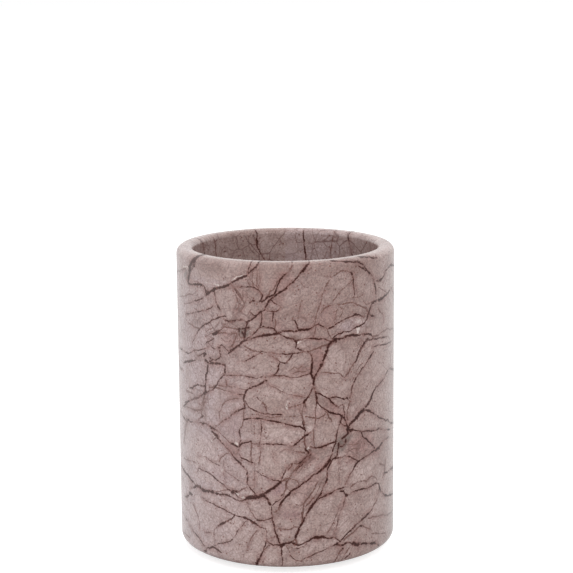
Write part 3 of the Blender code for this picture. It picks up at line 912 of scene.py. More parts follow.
UPPER_RIGHT = drawn(
    Fill(D),
    (0.55, 16, 83.5, 18, 82.8, 20, 82, 21.5, 81.7, 24, 82.5, 26.5, 83.3, 29, 83.7, 32, 84.2, 35, 84.6,
        38, 85, 40, 84.7, 43, 84.1),
    (0.5, 5.4, 75.8, 7.5, 74.8, 10.2, 74.5),
    (0.65, 16.6, 68, 18.5, 70.5, 19.5, 72.3, 20.7, 74),
    (1.05, 20.4, 73.6, 22, 75.8, 23.5, 77.2, 25.8, 78.2),
    (1.4, 24.2, 77.5, 25.8, 78.1),
    (0.75, 23, 77.2, 25.5, 78, 31, 78, 35, 78.2, 38.5, 78.2, 41, 78.3, 44, 77.8, 47, 77.4, 50, 76.1),
    (0.5, 23.4, 78.4, 27, 79.4, 30, 79.6, 33, 79.7, 35, 79.9, 37, 80.6, 39, 81, 42.5, 81.4, 44.5, 82,
        45.6, 83.2, 46.3, 85.6),
    (0.5, 3.6, 79.8, 5, 77.9, 4.7, 75.8),
    (0.6, 24, 103.8, 30, 103.4, 33, 103.2, 37.5, 102.7),
    (0.6, 35.5, 103, 39.5, 102.3, 42, 101.6, 43.5, 100.6, 45.5, 99.6, 48.5, 97.9, 50.3, 96.8, 51.6, 95.5,
        52, 94, 52.4, 92.3, 53, 91, 53.3, 89.3, 53.4, 87.4),
    (0.8, 34.4, 99.8, 35.8, 98.5),
    (0.8, 36.3, 97.2, 37.2, 97),
    (0.85, 51.2, 95.8, 52.5, 93, 53.1, 90.2),
    (0.7, 48.4, 84, 50, 83.8, 51.6, 83.4),
    (0.5, 39.4, 101.3, 42, 100.2, 45.4, 99),
    (0.7, 42, 103.7, 50, 103.2, 54.6, 102.7),
    Fill(D, 0.95),
    (0.6, 45.2, 82.2, 46, 84, 47.4, 86, 49.4, 87.6, 51.8, 88.2),
    Fill(D, 0.9),
    (0.5, 13.2, 78.4, 14.3, 80.5, 15.3, 82, 16.4, 83.7),
    (0.55, 5.9, 81.6, 5.2, 83.5, 4.2, 85, 2, 85.4),
    Fill(D, 0.8),
    (0.5, 36.6, 98, 36.8, 95, 37, 93, 36.2, 91),
    Fill(R),
    (0.5, 11.8, 74.5, 15, 75.2, 18, 75.8, 20.5, 76.2, 22.8, 76.7),
    (0.45, 20.8, 82.2, 22, 80, 24, 77.9),
    (0.5, 46.2, 84.8, 48.5, 86.6, 50, 88, 52.4, 88.8),
    (0.5, 16.4, 85.5, 18.5, 88, 20.5, 89.2, 24, 89.3, 28, 89.4, 32, 89.5, 35.5, 89.2, 38, 88.5, 41, 88,
        44, 87, 46.2, 85.2, 48, 84.3, 52, 83.5),
    (0.45, 43.6, 87.6, 45.8, 86, 48.4, 84.2),
    Fill(R, 0.8),
    (0.5, 29, 100.3, 33, 100, 35, 99.3, 37, 97.2),
    (0.45, 23.4, 89.6, 26, 92, 28, 93.5, 31, 95, 34, 96.3, 37.2, 97.6),
    (0.35, 42.6, 89.8, 45.5, 87.6, 49, 88.6),
    (0.35, 8.4, 78, 10, 76.4, 12.2, 75.8),
    Fill(R, 0.75),
    (0.55, 14.5, 82.8, 15.5, 86.5, 16.7, 89, 17.8, 91, 18.7, 93.5, 20, 95.5, 22, 97.5, 24, 98.8, 27, 99.8,
        31, 100.5),
    (0.35, 35, 91, 39, 91.2, 43.4, 91.3),
    (0.35, 28, 89.2, 25.8, 87, 25.2, 84.6),
    (0.35, 33, 89.2, 29.6, 87.4, 28.2, 85),
    (0.35, 7.6, 97.4, 10.4, 95.6, 12.6, 96.2),
    (0.35, 40.6, 76.6, 43, 75.2, 44.6, 73),
    Fill(R, 0.6),
    (0.35, 7.2, 95, 6.8, 91, 6.2, 87, 5.6, 84.6),
    (0.35, 5, 85.5, 8, 86.1, 11, 85.9, 15.2, 86),
)

UPPER_FAR_SIDES = drawn(
    Fill(D),
    (0.9, -47, 70.6, -45, 71.4),
    Fill(D, 0.95),
    (1.0, 55, 88.1, 59.6, 88.2, 63, 88.8),
    Fill(D, 0.9),
    (0.6, 46.2, 88, 50, 88.2, 53, 88.4, 56, 88.1, 59, 88.2, 62, 88.7, 65, 89, 69, 89.9, 77, 90.3),
    (0.65, 45.2, 75.7, 48, 75.1, 50.5, 75.4, 54, 75.3, 58, 75, 62, 74.8, 68, 74.5),
    (0.5, -67, 86.1, -62, 86.9, -58, 87.2, -55, 88.3, -51, 89.3, -47, 90.3),
    (0.5, -51, 85.1, -47, 86, -45, 86.5, -42.5, 87.4, -39, 88.7),
    (0.45, -63.5, 82.7, -59, 83.7, -55, 84.5, -49.5, 85.5),
    (0.5, -39, 77.6, -42.5, 76.2, -45.8, 74.8),
    (0.45, -44, 75.2, -41, 74.4, -38, 73.7),
    (0.5, -72, 70.1, -65, 69.8, -60, 69.8, -57, 71, -54, 72, -50, 72.5, -46, 73.3, -42.4, 74.2),
    Fill(D, 0.85),
    (0.75, 52.8, 95.2, 56.5, 94.3, 58.5, 95, 61, 95.8, 63.5, 97, 67, 97.9, 71, 98.5, 77, 98.9),
    (0.55, 50.2, 72.8, 53.5, 72.6, 55, 73, 57.5, 72.7, 59.5, 72.5, 64, 72.2, 73, 71.9),
    Fill(R),
    (0.45, 56, 92.4, 60, 91.3, 63, 90.3, 66, 89),
    (0.6, 56, 85.4, 58, 84, 60, 83, 61, 81.5, 61.8, 79.4),
    (0.5, 47.4, 76.9, 50, 76, 54, 76.4, 58, 76.5, 62, 76.6, 66, 77, 70, 76.2, 78, 75.7),
    (0.5, -74, 87.9, -66, 89, -60, 90, -55.5, 90.4),
    (0.5, -61.5, 80.3, -57, 80, -54, 79.5, -50.5, 79.4),
    (0.7, -80, 95.9, -72, 97.2, -68, 98, -62.5, 98.6),
)

BACK_RIGHT = drawn(
    Fill(D),
    (0.8, 71, 62.6, 80, 61, 88, 58.5, 96, 57, 104, 53.5, 112, 52, 121, 47.5, 130, 46, 139, 40.6),
    (0.65, 73, 42.8, 82, 41.5, 90, 38, 97, 36.5, 106, 37.5, 115, 34, 124, 31.5, 133, 32.5, 143, 27.6),
    (0.75, 103, 52, 108, 60, 111, 66, 116, 71, 118, 78, 124, 84, 127, 92, 133, 98, 137, 107),
    (0.6, 71, 98.5, 82, 97, 91, 92, 99, 90.5, 108, 86, 118, 77.5),
    (0.75, 71, 26.4, 79, 25.5, 87, 22, 94, 21.5, 103, 17, 112, 16, 120, 10.5, 126, 4, 129, -2),
    (0.85, 137, 40.6, 146, 43.5, 155, 50, 163, 52, 172, 58.5, 184, 62),
    (0.8, 137.6, 42, 141, 34, 147, 29, 149, 22, 156, 16, 158, 8, 164, -2),
    (0.6, 155.4, 48.6, 152, 58, 156, 64, 154, 71, 160, 78, 161, 86, 167, 93, 168, 106),
    (0.6, 163, 53, 166, 43, 172, 37, 174, 28, 184, 22),
    Fill(D, 0.9),
    (0.5, 97.4, 37.4, 95, 30, 98, 25, 96, 19.4),
    (0.5, 117, 71.2, 107, 70, 98, 72.5, 88, 71, 77, 75.8),
    (0.5, 103.4, 17.8, 101, 9, 105, 3, 104, -2),
    Fill(D, 0.85),
    (0.5, 72, 90.3, 80, 88, 88, 83.5, 95, 82, 103, 77, 113, 66.5),
    Fill(R),
    (0.6, 123, 84, 133, 82, 141, 84, 150, 80, 160, 78.5, 170, 81, 184, 77),
    (0.55, 123, 32.4, 127, 24, 133, 18, 135, 10, 141, 4, 144, -2),
    (0.5, 88.4, 59.2, 85, 52, 88, 47, 83.6, 41),
    (0.5, 172, 57.6, 169, 66, 174, 72, 172, 81),
    (0.5, 110, 66.4, 118, 62, 126, 60, 133, 57, 143, 59, 153, 57.8),
    (0.5, 145.4, 44.4, 149, 37, 158, 33, 166, 35, 174, 33),
    (0.5, 150.6, 79, 146, 88, 149, 95, 146, 106),
    (0.5, 90.4, 91.2, 94, 99, 93, 106),
    (0.5, 70, 10.7, 84, 10.5, 93, 9.5, 102, 9),
    (0.5, 165, 43.6, 175, 41.5, 184, 44),
)

BACK_LEFT = drawn(
    Fill(D),
    (0.8, -184, 59.7, -176, 62, -168, 66, -160, 67, -150, 72.5, -141, 74, -131, 80, -122, 81.5, -112, 87,
        -100, 88, -88, 92, -78, 96.1),
    (0.7, -150.6, 73.6, -146, 64, -147, 57, -140, 50, -139, 43, -132, 37, -130, 29),
    (0.75, -159, 68, -163, 58, -158, 50, -160, 42, -153, 35, -154, 27, -148, 20, -147, 11, -141, 5,
        -138, -2),
    (0.6, -140, 42.8, -129, 45, -120, 42, -111, 44.5, -101, 43, -92, 46, -84, 45, -76, 47, -65, 45.2),
    (0.6, -131.4, 81, -127, 72, -122, 67, -119, 58, -112, 53, -110, 43.6),
    (0.6, -112.4, 88, -107, 79, -100, 75, -98, 68, -90, 64.5, -82, 63.5, -72, 62.6),
    (0.85, -149, 19.8, -139, 23, -131, 21, -121, 25, -112, 24, -103, 28, -93, 26, -84, 27.5, -72, 26.5),
    (0.6, -130.4, 31, -126, 25, -123, 17, -115, 13, -113, 6, -106, -2),
    (0.6, -122.4, 80.6, -117, 90, -118, 96, -110, 107),
    (0.65, -167.6, 65, -171, 74, -166, 83, -168, 91, -161, 98, -160, 106),
    (0.6, -184, 26.8, -174, 20.8, -165, 17, -156, 18, -147, 20.3),
    Fill(D, 0.9),
    (0.5, -184, 79.1, -175, 76.9, -166, 73, -157, 67.6),
    (0.5, -99, 67.6, -90, 71, -82, 69, -69, 70.1),
    Fill(R),
    (0.55, -103.4, 29, -99, 20, -92, 16, -88, 12, -79, 10.5, -68, 9.2),
    (0.5, -167, 82.8, -155, 86, -146, 84, -138, 88, -130, 95, -126, 107),
    (0.5, -120.2, 43, -117, 35, -120, 29, -115.6, 23.6),
    (0.5, -141, 49.8, -131, 53, -122, 51, -112, 53.6),
    (0.5, -88, 91, -90, 99, -86, 106),
    (0.5, -84, 26.6, -88, 34, -84, 39, -87, 46),
    (0.5, -159, 42.2, -170, 40, -184, 44),
)

PALE_FLECKS = drawn(
    Fill(P),
    (0.9, -27.2, 43, -25.2, 42.3),
    (0.65, -26.8, 25, -25.2, 25.3),
    (0.65, -24, 24.2, -22.2, 24.8),
    Fill(P, 0.95),
    (0.85, -36.1, 32.2, -35.2, 33.2),
    (0.6, 0.2, 56.2, 0.5, 54.9),
    Fill(P, 0.9),
    (0.9, -63.6, 57.1, -60, 57.5),
    (0.7, 9.6, 40.8, 11.1, 41.9),
    (0.6, -41, 43.9, -39, 42.8),
    (0.6, -57.6, 100, -55.6, 100.3),
    Fill(P, 0.85),
    (0.4, -28, 97.5, -24.5, 98.7, -21.6, 99.6),
    Fill(P, 0.8),
    (0.8, -67, 98.9, -60, 99.6),
    (0.7, 11.6, 47.6, 13.4, 48.6),
    (0.5, -5.4, 25.1, -1.6, 25.8),
    (0.5, -53.9, 30.7, -52.1, 29.8),
    (0.9, 118, 71.8, 122, 73.4),
    (0.8, 150, 27.4, 153, 24.5),
    (0.8, -143, 51, -138, 52.4),
    (0.9, -114, 24.9, -109, 26),
    (0.7, -165, 67.5, -160, 68.6),
    (0.7, 98, 58.2, 103, 55.6),
    Fill(P, 0.75),
    (1.0, 39, 79.9, 39, 78.7),
    (0.6, 10.1, 49.1, 12, 48.6),
    (0.5, -23.6, 25.9, -21, 26.2),
    (0.4, 0.3, 58, 0.5, 55),
    Fill(P, 0.7),
    (0.8, -43, 42.3, -41.4, 41.5),
    (0.6, 5, 77.2, 8, 78.3),
    (0.5, 8.2, 40.3, 9.8, 38.7),
    Fill(P, 0.65),
    (1.5, 38.2, 80.4, 40.2, 80.2),
    Fill(P, 0.6),
    (0.6, -45, 95.6, -40, 95.4, -35, 95.5),
    (0.7, -21, 80.3, -17.6, 81.7),
    Fill(P, 0.55),
    (0.5, 21.5, 71.6, 22.7, 74, 24.4, 76.2),
    Fill(P, 0.5),
    (0.5, -24.4, 90.6, -26, 87.4),
    Fill(P, 0.45),
    (1.2, 38, 82.4, 41, 83.2),
)

VEIN_SETS: dict[str, tuple[Vein, ...]] = {
    "lower_left": LOWER_LEFT,
    "lower_right": LOWER_RIGHT,
    "lower_far_left": LOWER_FAR_LEFT,
    "middle_left": MIDDLE_LEFT,
    "middle_right": MIDDLE_RIGHT,
    "middle_far_left": MIDDLE_FAR_LEFT,
    "upper_left": UPPER_LEFT,
    "upper_right": UPPER_RIGHT,
    "upper_far_sides": UPPER_FAR_SIDES,
    "back_right": BACK_RIGHT,
    "back_left": BACK_LEFT,
    "pale_flecks": PALE_FLECKS,
}


# Tints of the ground, with painted light and painted shade among them

@dataclass(frozen=True)
class Patch:
    """A soft-edged patch of tint on the wall; a few of them paint light and shade instead of the stone's
    tint.

    Attributes:
        centre: degrees round the wall and millimetres up.
        reach: half its width and half its height, in millimetres.
        strength: how strongly it shows.
        tilt: how far it leans, in degrees anticlockwise as seen from outside.
    """

    centre: Point
    reach: Point
    strength: float = 1.0
    tilt: float = 0.0

    FULL = 0.06
    EDGE = 1.0

    def value(self, graph: Graph, around: Socket, height: Socket) -> Socket:
        """Add the nodes that say how deep in the patch a point lies.

        Args:
            graph: where the nodes go.
            around, height: the point on the unrolled wall, in millimetres.

        Returns:
            The patch's strength at its centre, easing to 0 at its edge.
        """
        turn, level = self.centre
        wide, tall = self.reach
        middle = Vector((math.radians(turn) * CUP_RADIUS / MM, level))
        lean = math.radians(self.tilt)
        along = Vector((math.cos(lean), math.sin(lean))) / wide
        across = Vector((-math.sin(lean), math.cos(lean))) / tall
        aside = graph.math("MULTIPLY_ADD", around, along.x, -middle.dot(along))
        aside = graph.math("MULTIPLY_ADD", height, along.y, aside)
        above = graph.math("MULTIPLY_ADD", around, across.x, -middle.dot(across))
        above = graph.math("MULTIPLY_ADD", height, across.y, above)
        away = graph.math("MULTIPLY_ADD", above, above, graph.math("MULTIPLY", aside, aside))
        return graph.ramp(away, self.FULL, self.EDGE, self.strength, 0.0)


PALE_AND_LIT_PATCHES = (
    Patch((-5, 45), (9, 6.5), 0.9),
    Patch((-5, 38.5), (7, 4), 0.7),
    Patch((25, 70), (5, 6), 0.8),
    Patch((-5, 60.5), (6.5, 3), 0.8),
    Patch((-28, 14.5), (5.5, 3.2), 1),
    Patch((-50, 36), (13, 8), 0.7),
    Patch((-42, 20), (15, 5), 0.6),
    Patch((-55, 14), (10, 7), 0.5),
    Patch((-18, 20), (5, 4), 0.7),
    Patch((5, 24), (3, 3), 0.9),
    Patch((40, 30), (8, 4.5), 0.8),
    Patch((50, 16), (7, 4.5), 0.8),
    Patch((40.5, 82), (3.6, 2.4), 1),
    Patch((8.5, 76.8), (3.2, 1.3), 0.8),
    Patch((-47, 13), (4.5, 3.5), 0.6),
    Patch((14, 14), (3, 4), 0.5, -35),
    Patch((-20.5, 26.3), (2.6, 1.1), 1),
    Patch((-43, 2.8), (2.4, 1.2), 0.9),
    Patch((12, 48.4), (1.8, 1.5), 0.9),
    Patch((28, 39.4), (1.2, 2.2), 0.9),
    Patch((25.6, 8.4), (1.2, 0.8), 1),
    # Painted light: a broad lightening of the lower front, standing for light that the white floor throws up
    # onto the wall
    Patch((-5, 14), (42, 26), 0.32),
    Patch((-5, 30.4), (2.4, 1.4), 0.8),
    Patch((-33, 25.2), (4.5, 1.2), 0.8),
    Patch((28, 79), (3, 1.4), 0.7),
    Patch((19.6, 36), (1.6, 1.6), 0.8),
    Patch((-30, 17), (14, 6), 0.55),
    Patch((45, 53.4), (4, 2), 0.6),
    Patch((-11, 4), (3.4, 3), 0.7),
    Patch((-50, 28.5), (9, 2.4), 0.6),
    Patch((23, 36), (3, 1.6), 0.8),
    Patch((-28.4, 26.6), (3, 1.2), 0.7),
    Patch((-7, 29.6), (3.4, 1.8), 0.6),
)

DIM_AND_SHADE_PATCHES = (
    Patch((9, 68.3), (6, 2.2), 0.8),
    Patch((-26, 83.5), (5.5, 2.6), 0.9),
    Patch((-20.5, 81.5), (3.2, 3.8), 1),
    Patch((-33, 73.5), (4.5, 2.4), 0.7),
    Patch((-8, 85), (4, 3.6), 0.7),
    Patch((21, 56.4), (6, 2), 0.8, -32),
    Patch((17, 40.4), (5.5, 2), 0.8),
    Patch((45, 36.4), (9.5, 1.8), 0.8),
    Patch((43, 44.2), (9, 1.6), 0.7),
    Patch((50, 99), (7, 5), 0.7),
    Patch((14.5, 67), (1.8, 3.4), 1),
    Patch((-27, 95.6), (6.5, 1.9), 0.9),
    Patch((-3.5, 93), (4, 2.6), 0.8, 35),
    Patch((-53, 56), (7, 3), 0.4, 20),
    Patch((3, 79), (3, 1.6), 1),
    Patch((-29, 39.6), (5, 1.8), 0.5, -42),
    Patch((0.8, 9.6), (3, 3), 0.8),
    Patch((6, 52.4), (2.4, 1.6), 0.6),
    Patch((-36, 88), (4.5, 3.2), 0.35),
    Patch((36, 65), (4.5, 4.5), 0.3),
    Patch((-5.8, 19.8), (2.6, 3.6), 1),
    Patch((3.6, 18.8), (2, 1.3), 0.9),
    Patch((4.2, 9.4), (1.2, 1.6), 0.8),
    # Painted shade: a broad darkening of the upper front, as if less light reached the top of the wall
    Patch((5, 88), (50, 26), 0.26),
    Patch((-18, 93), (4, 6), 0.85),
    Patch((-33, 94.6), (3.5, 1.4), 0.8),
    Patch((-36, 70.8), (6, 2.4), 1),
    Patch((-9.5, 83.6), (3, 2.4), 0.9),
    Patch((39.6, 76), (2.4, 2), 0.9),
    Patch((54, 88), (4, 9), 0.5),
    Patch((-53, 82), (5, 3.5), 0.6),
    Patch((14.4, 59.4), (2.2, 3.8), 0.9),
    Patch((18, 29.6), (2.2, 3.4), 0.8),
    Patch((24, 38), (2.4, 1.8), 0.7),
    Patch((35.6, 35.4), (3, 1.2), 0.7),
    Patch((-47.4, 51.4), (2.2, 5.5), 0.8),
    # Painted shade: this patch, the next one and three further down, all about 101 mm up, darken a band just
    # under the rim
    Patch((-42, 101.2), (9, 3.6), 0.9),
    Patch((-26, 101.6), (9, 3.8), 0.35),
    Patch((47.6, 85), (4, 3.6), 0.9),
    Patch((-27, 73.4), (4, 3.4), 0.7),
    Patch((-50, 70), (4.5, 2.2), 0.8),
    Patch((60, 38), (7, 10), 0.6),
    # Painted shade: these three darken the band just under the rim across the front
    Patch((-4, 101.8), (18, 3.2), 0.75),
    Patch((18, 101.6), (14, 3.8), 0.7),
    Patch((42, 101), (13, 4.6), 0.9),
    Patch((5, 16.6), (3, 2.2), 0.6),
    Patch((2.6, 5.4), (3, 3), 0.6),
)

BLUSHES = (
    Patch((16.5, 72), (3, 5), 0.9),
    Patch((42, 40.5), (8, 4), 0.9),
    Patch((-4.5, 25.4), (3, 4.4), 0.5),
    Patch((2, 20), (4.4, 4), 0.6),
    Patch((10, 29.5), (10, 2.8), 0.5, 42),
    Patch((18, 35), (6, 2.4), 0.6, 45),
    Patch((22, 86), (4, 5), 0.5),
    Patch((-2, 97.5), (5.5, 4.5), 0.7, 35),
    Patch((-30, 78), (5.5, 5.5), 0.5),
    Patch((11, 38), (4.5, 3), 0.6),
    Patch((27, 52.5), (7, 2.8), 0.6, -38),
    Patch((33, 48), (3, 4), 0.6),
    Patch((-28, 40), (6, 2.4), 0.5, -42),
    Patch((-26, 59.5), (5, 2.2), 0.4),
    Patch((118, 66), (6, 8), 0.8),
    Patch((150, 36), (7, 6), 0.7),
    Patch((-150, 60), (6, 7), 0.7),
    Patch((-112, 34), (7, 6), 0.6),
    Patch((35, 36), (4, 3), 0.5),
    Patch((52, 36.6), (6, 4), 0.5),
    Patch((17, 53), (4, 3), 0.5),
    Patch((9, 24.6), (4, 3), 0.5),
    Patch((9, 67.6), (6, 2.2), 0.5),
    Patch((-4.5, 92), (4, 2.6), 0.4),
    Patch((-5, 83.2), (3, 3), 0.5),
)

COOL_PATCHES = (
    Patch((-75, 40), (46, 80), 0.9),
    Patch((160, 70), (40, 50), 0.6),
    Patch((-46, 26), (16, 14), 0.5),
    Patch((-26, 16), (9, 7), 0.5),
    Patch((37, 81.6), (8, 3), 0.8),
    Patch((-42, 95.8), (18, 2.4), 0.7),
)

MAUVE_PATCHES = (
    Patch((-4.5, 28), (5, 2.4), 1, 33),
    Patch((-8, 30.8), (4, 1.6), 0.7, -20),
    Patch((1, 19), (5, 2.4), 0.6),
    Patch((-30, 49), (7, 4.5), 0.6),
    Patch((-37, 31), (6, 4), 0.5),
)

CRAZED_PATCHES = (
    Patch((-33, 79), (16, 15), 1),
    Patch((-20, 90), (10, 8), 1),
    Patch((8, 38), (7, 7), 1),
    Patch((10, 27), (9, 6), 0.9),
    Patch((-4, 30), (7, 6), 0.8),
    Patch((38, 40), (10, 6), 0.8),
    Patch((-29, 62), (10, 5), 0.7),
    Patch((-54, 86), (9, 8), 1),
    Patch((-50, 54), (8, 10), 1),
    Patch((46, 84), (8, 7), 0.9),
)

GREY_PATCHES = (
    Patch((29.6, 42.3), (5.2, 3.2), 1, 46),
    Patch((-56.6, 100.4), (5, 1.9), 1, 57),
    Patch((-21.8, 80.4), (2.6, 2.6), 1),
    Patch((-61.5, 96.6), (3.2, 2.4), 0.9),
    Patch((139, 41.5), (2, 1.6), 0.8),
)


# Finishes

@dataclass(frozen=True)
class HairLayer:
    """One layer of fine lines between the fragments of the ground.

    Attributes:
        grain: size of the fragments in millimetres.
        reach: reach of a line in millimetres.
        most: how strongly a line shows.
        low, high: the noise levels between which a line comes in.
        stretch, lean: how far the fragments are drawn out, and how far that leans in degrees.
    """

    grain: float
    reach: float
    most: float
    low: float
    high: float
    stretch: float = 1.0
    lean: float = 0.0

    def value(self, graph: Graph, bent: Socket, shown: Socket) -> Socket:
        """Add the layer's lines.

        Args:
            graph: where the nodes go.
            bent: the wavering place at which the fragments are read, in millimetres.
            shown: the noise that says where lines come in.

        Returns:
            How strongly a line shows.
        """
        line = graph.ramp(graph.cells(bent, self.grain), 0.0, self.reach / self.grain, 1.0, 0.0)
        return graph.math("MULTIPLY", line, graph.ramp(shown, self.low, self.high, 0.0, self.most))


@dataclass(frozen=True)
class StoneFinish:
    """Polished mauve-brown marble, broken into fragments and healed by dark veins.

    A Band turns a vein's depth or a noise into a share. Wavers and bends give the grain and reach of noises,
    and dots their spacing, reach and strength. Drawn veins come in between the drawn_radii. These lengths are
    in millimetres. A spread is the grain, in fragments, of the noise that thins out a layer of lines.
    """

    ground: Colour = srgb(166, 144, 139)
    ground_dim: Colour = srgb(147, 123, 117)
    ground_light: Colour = srgb(179, 158, 154)
    ground_cool: Colour = srgb(174, 155, 157)
    # The pale ground also paints light on the lower front, and the dark ground paints shade under the rim and
    # towards the top
    ground_pale_and_lit: Colour = srgb(190, 169, 165)
    ground_dark_and_shade: Colour = srgb(124, 98, 92)
    blush: Colour = srgb(146, 107, 103)
    mauve: Colour = srgb(154, 126, 128)
    grey: Colour = srgb(98, 93, 87)
    hairline: Colour = srgb(112, 84, 80)
    halo: Colour = srgb(136, 101, 96)
    red_vein: Colour = srgb(108, 77, 71)
    vein_rim: Colour = srgb(109, 68, 61)
    vein_core: Colour = srgb(56, 17, 8)
    pale: Colour = srgb(206, 193, 187)
    roughness: float = 0.27
    vein_roughness: float = 0.41
    beside: Band = (-2.2, 0.2, 0.0, 1.0)
    red_fill: Band = (0.2, 0.62, 0.0, 0.92)
    pale_fill: Band = (0.25, 0.8, 0.0, 0.8)
    rim_fill: Band = (0.24, 0.52, 0.0, 0.72)
    core_fill: Band = (0.48, 0.72, 0.0, 0.98)
    rough_fill: Point = (0.3, 0.9)
    stain: Cloud = Cloud(4.4, 3.0, (0.36, 0.66, 0.0, 0.55))
    uneven: Cloud = Cloud(3.2, 3.0, (0.3, 0.66, 0.56, 1.2))
    grit: Cloud = Cloud(0.6, 2.0, (0.3, 0.7, 0.72, 1.22))
    drift: Cloud = Cloud(26.0, 2.0, (0.36, 0.66, 0.0, 0.6))
    cloud: Cloud = Cloud(5.0, 4.0, (0.42, 0.68, 0.0, 0.62), 0.6)
    shade: Cloud = Cloud(3.4, 4.0, (0.46, 0.72, 0.0, 0.6), 0.62)
    shade_shift: Place = (40.0, 13.0, 7.0)
    patch_break: Band = (0.3, 0.6, 0.45, 1.0)
    patch_most: float = 0.75
    strong_most: float = 0.9
    dot_crowd: Cloud = Cloud(4.0, 2.0, (0.34, 0.6, 0.0, 1.0))
    dots: tuple[Place, ...] = ((1.8, 0.4, 0.9), (1.0, 0.27, 0.62))
    dot_core: float = 0.4
    grain: Cloud = Cloud(0.62, 3.0, (0.3, 0.7, 0.76, 1.22), 0.75)
    wavers: tuple[Point, ...] = ((7.0, 1.5), (1.7, 0.8), (0.55, 0.5))
    hair_bends: tuple[Point, ...] = ((9.0, 3.0), (2.4, 0.9))
    craze_bends: tuple[Point, ...] = ((3.0, 0.8),)
    drawn_radii: Point = (25.0, 30.0)
    hair_layers: tuple[HairLayer, ...] = (
        HairLayer(11.0, 0.34, 0.85, 0.34, 0.5),
        HairLayer(6.0, 0.28, 0.75, 0.42, 0.56),
    )
    craze_layers: tuple[HairLayer, ...] = (
        HairLayer(3.4, 0.3, 0.8, 0.4, 0.58, 2.4, 35.0),
        HairLayer(2.4, 0.25, 0.65, 0.4, 0.58, 2.0, -22.0),
    )
    hair_room: Band = (36.0, 52.0, 0.35, 1.0)
    hair_spread: float = 1.3
    craze_spread: float = 1.5
    craze_least: float = 0.5
    bare_grain: float = 15.0
    bare_reach: float = 0.055

    def material(self) -> bpy.types.Material:
        """Make the stone's material.

        Returns:
            The material, read in Object coordinates.
        """
        design = MaterialDesign("marble")
        graph = design.graph
        wall = graph.place(self.wall_group(), {}).outputs
        place = wall["Place"]
        drawn_here = wall["Drawn"]
        point = {"Around": wall["Around"], "Height": wall["Height"]}
        masks = self.vein_masks(graph, point)
        beside = graph.ramp(graph.math("MAXIMUM", masks[Tone.DARK], masks[Tone.RED]), *self.beside)
        dark, red, pale = (
            graph.math("MULTIPLY", graph.math("MAXIMUM", masks[tone], 0.0), drawn_here)
            for tone in (Tone.DARK, Tone.RED, Tone.PALE)
        )
        colour = graph.place(self.ground_light_and_shade_group(), {"Place": place, **point}).outputs[0]
        net = graph.place(self.network_group(), {"Place": place, **point, "Drawn": drawn_here}).outputs
        stain = self.stain.value(graph, place)
        stain = graph.math("MULTIPLY", stain, graph.math("MULTIPLY", beside, drawn_here))
        colour = graph.mix(stain, colour, self.halo)
        colour = graph.mix(net["Hair"], colour, self.hairline)
        broken = graph.math("MULTIPLY", self.uneven.value(graph, place), self.grit.value(graph, place))
        red = graph.math("MULTIPLY", red, broken)
        pale = graph.math("MULTIPLY", pale, broken)
        dark = graph.math("MULTIPLY", graph.math("MAXIMUM", dark, net["Vein"]), broken)
        fills = (
            (red, self.red_fill, self.red_vein),
            (pale, self.pale_fill, self.pale),
            (dark, self.rim_fill, self.vein_rim),
            (dark, self.core_fill, self.vein_core),
        )
        for depth, band, tint in fills:
            colour = graph.mix(graph.ramp(depth, *band), colour, tint)
        colour = self.speckle(graph, place, colour)
        rough = graph.ramp(dark, *self.rough_fill, self.roughness, self.vein_roughness)
        return design.close({"Base Color": colour, "Roughness": rough})

    def wall_group(self) -> bpy.types.NodeTree:
        """Make the group that unrolls the wall.

        Returns:
            A group that gives the place in millimetres, the wavering point on the unrolled wall in
            millimetres, and how far drawn veins show.
        """
        outputs = {"Place": VECTOR, "Around": FLOAT, "Height": FLOAT, "Drawn": FLOAT}
        design = GroupDesign("unrolled_wall", {}, outputs)
        graph = design.graph
        place = graph.place_on_piece()
        axes = graph.node("ShaderNodeSeparateXYZ", {0: place}).outputs
        round_wall = graph.math("MULTIPLY", graph.turn(axes["X"], axes["Y"]), CUP_RADIUS / MM)
        height = graph.math("SUBTRACT", axes["Z"], CUP_BOTTOM / MM)
        flat = graph.node("ShaderNodeCombineXYZ", {0: round_wall, 1: height}).outputs[0]
        flat = graph.bend(flat, place, self.wavers, 1.0)
        level = graph.node("ShaderNodeCombineXYZ", {0: axes["X"], 1: axes["Y"]}).outputs[0]
        radius = graph.node("ShaderNodeVectorMath", {0: level}, operation="LENGTH").outputs["Value"]
        shown = graph.ramp(radius, *self.drawn_radii)
        point = graph.node("ShaderNodeSeparateXYZ", {0: flat}).outputs
        return design.close({"Place": place, "Around": point["X"], "Height": point["Y"], "Drawn": shown})

    def vein_masks(self, graph: Graph, point: dict[str, Socket]) -> dict[Tone, Socket]:
        """Add the drawn veins.

        Args:
            graph: the material's graph.
            point: the wavering point on the unrolled wall, in millimetres.

        Returns:
            For each tone, how deep in a vein of that tone the point lies, 0 being outside.
        """
        masks: dict[Tone, Socket] = {}
        for name, veins in VEIN_SETS.items():
            group = graph.place(self.vein_group(name, veins), point)
            for tone in Tone:
                found = group.outputs.get(tone.value)
                if found is not None:
                    masks[tone] = graph.math("MAXIMUM", masks[tone], found) if tone in masks else found
        return masks

    def vein_group(self, name: str, veins: tuple[Vein, ...]) -> bpy.types.NodeTree:
        """Make the group of one region's veins.

        Args:
            name: the region's name.
            veins: the veins in it.

        Returns:
            A group with one output for each tone that the region has.
        """
        tones = [tone for tone in Tone if any(vein.tone is tone for vein in veins)]
        outputs = {tone.value: FLOAT for tone in tones}
        design = GroupDesign(f"veins_{name}", {"Around": FLOAT, "Height": FLOAT}, outputs)
        point = (design.given["Around"], design.given["Height"])
        results: dict[str, Socket] = {}
        for tone in tones:
            depths = (vein.value(design.graph, *point) for vein in veins if vein.tone is tone)
            results[tone.value] = design.graph.most(depths, Vein.OUTSIDE)
        return design.close(results)

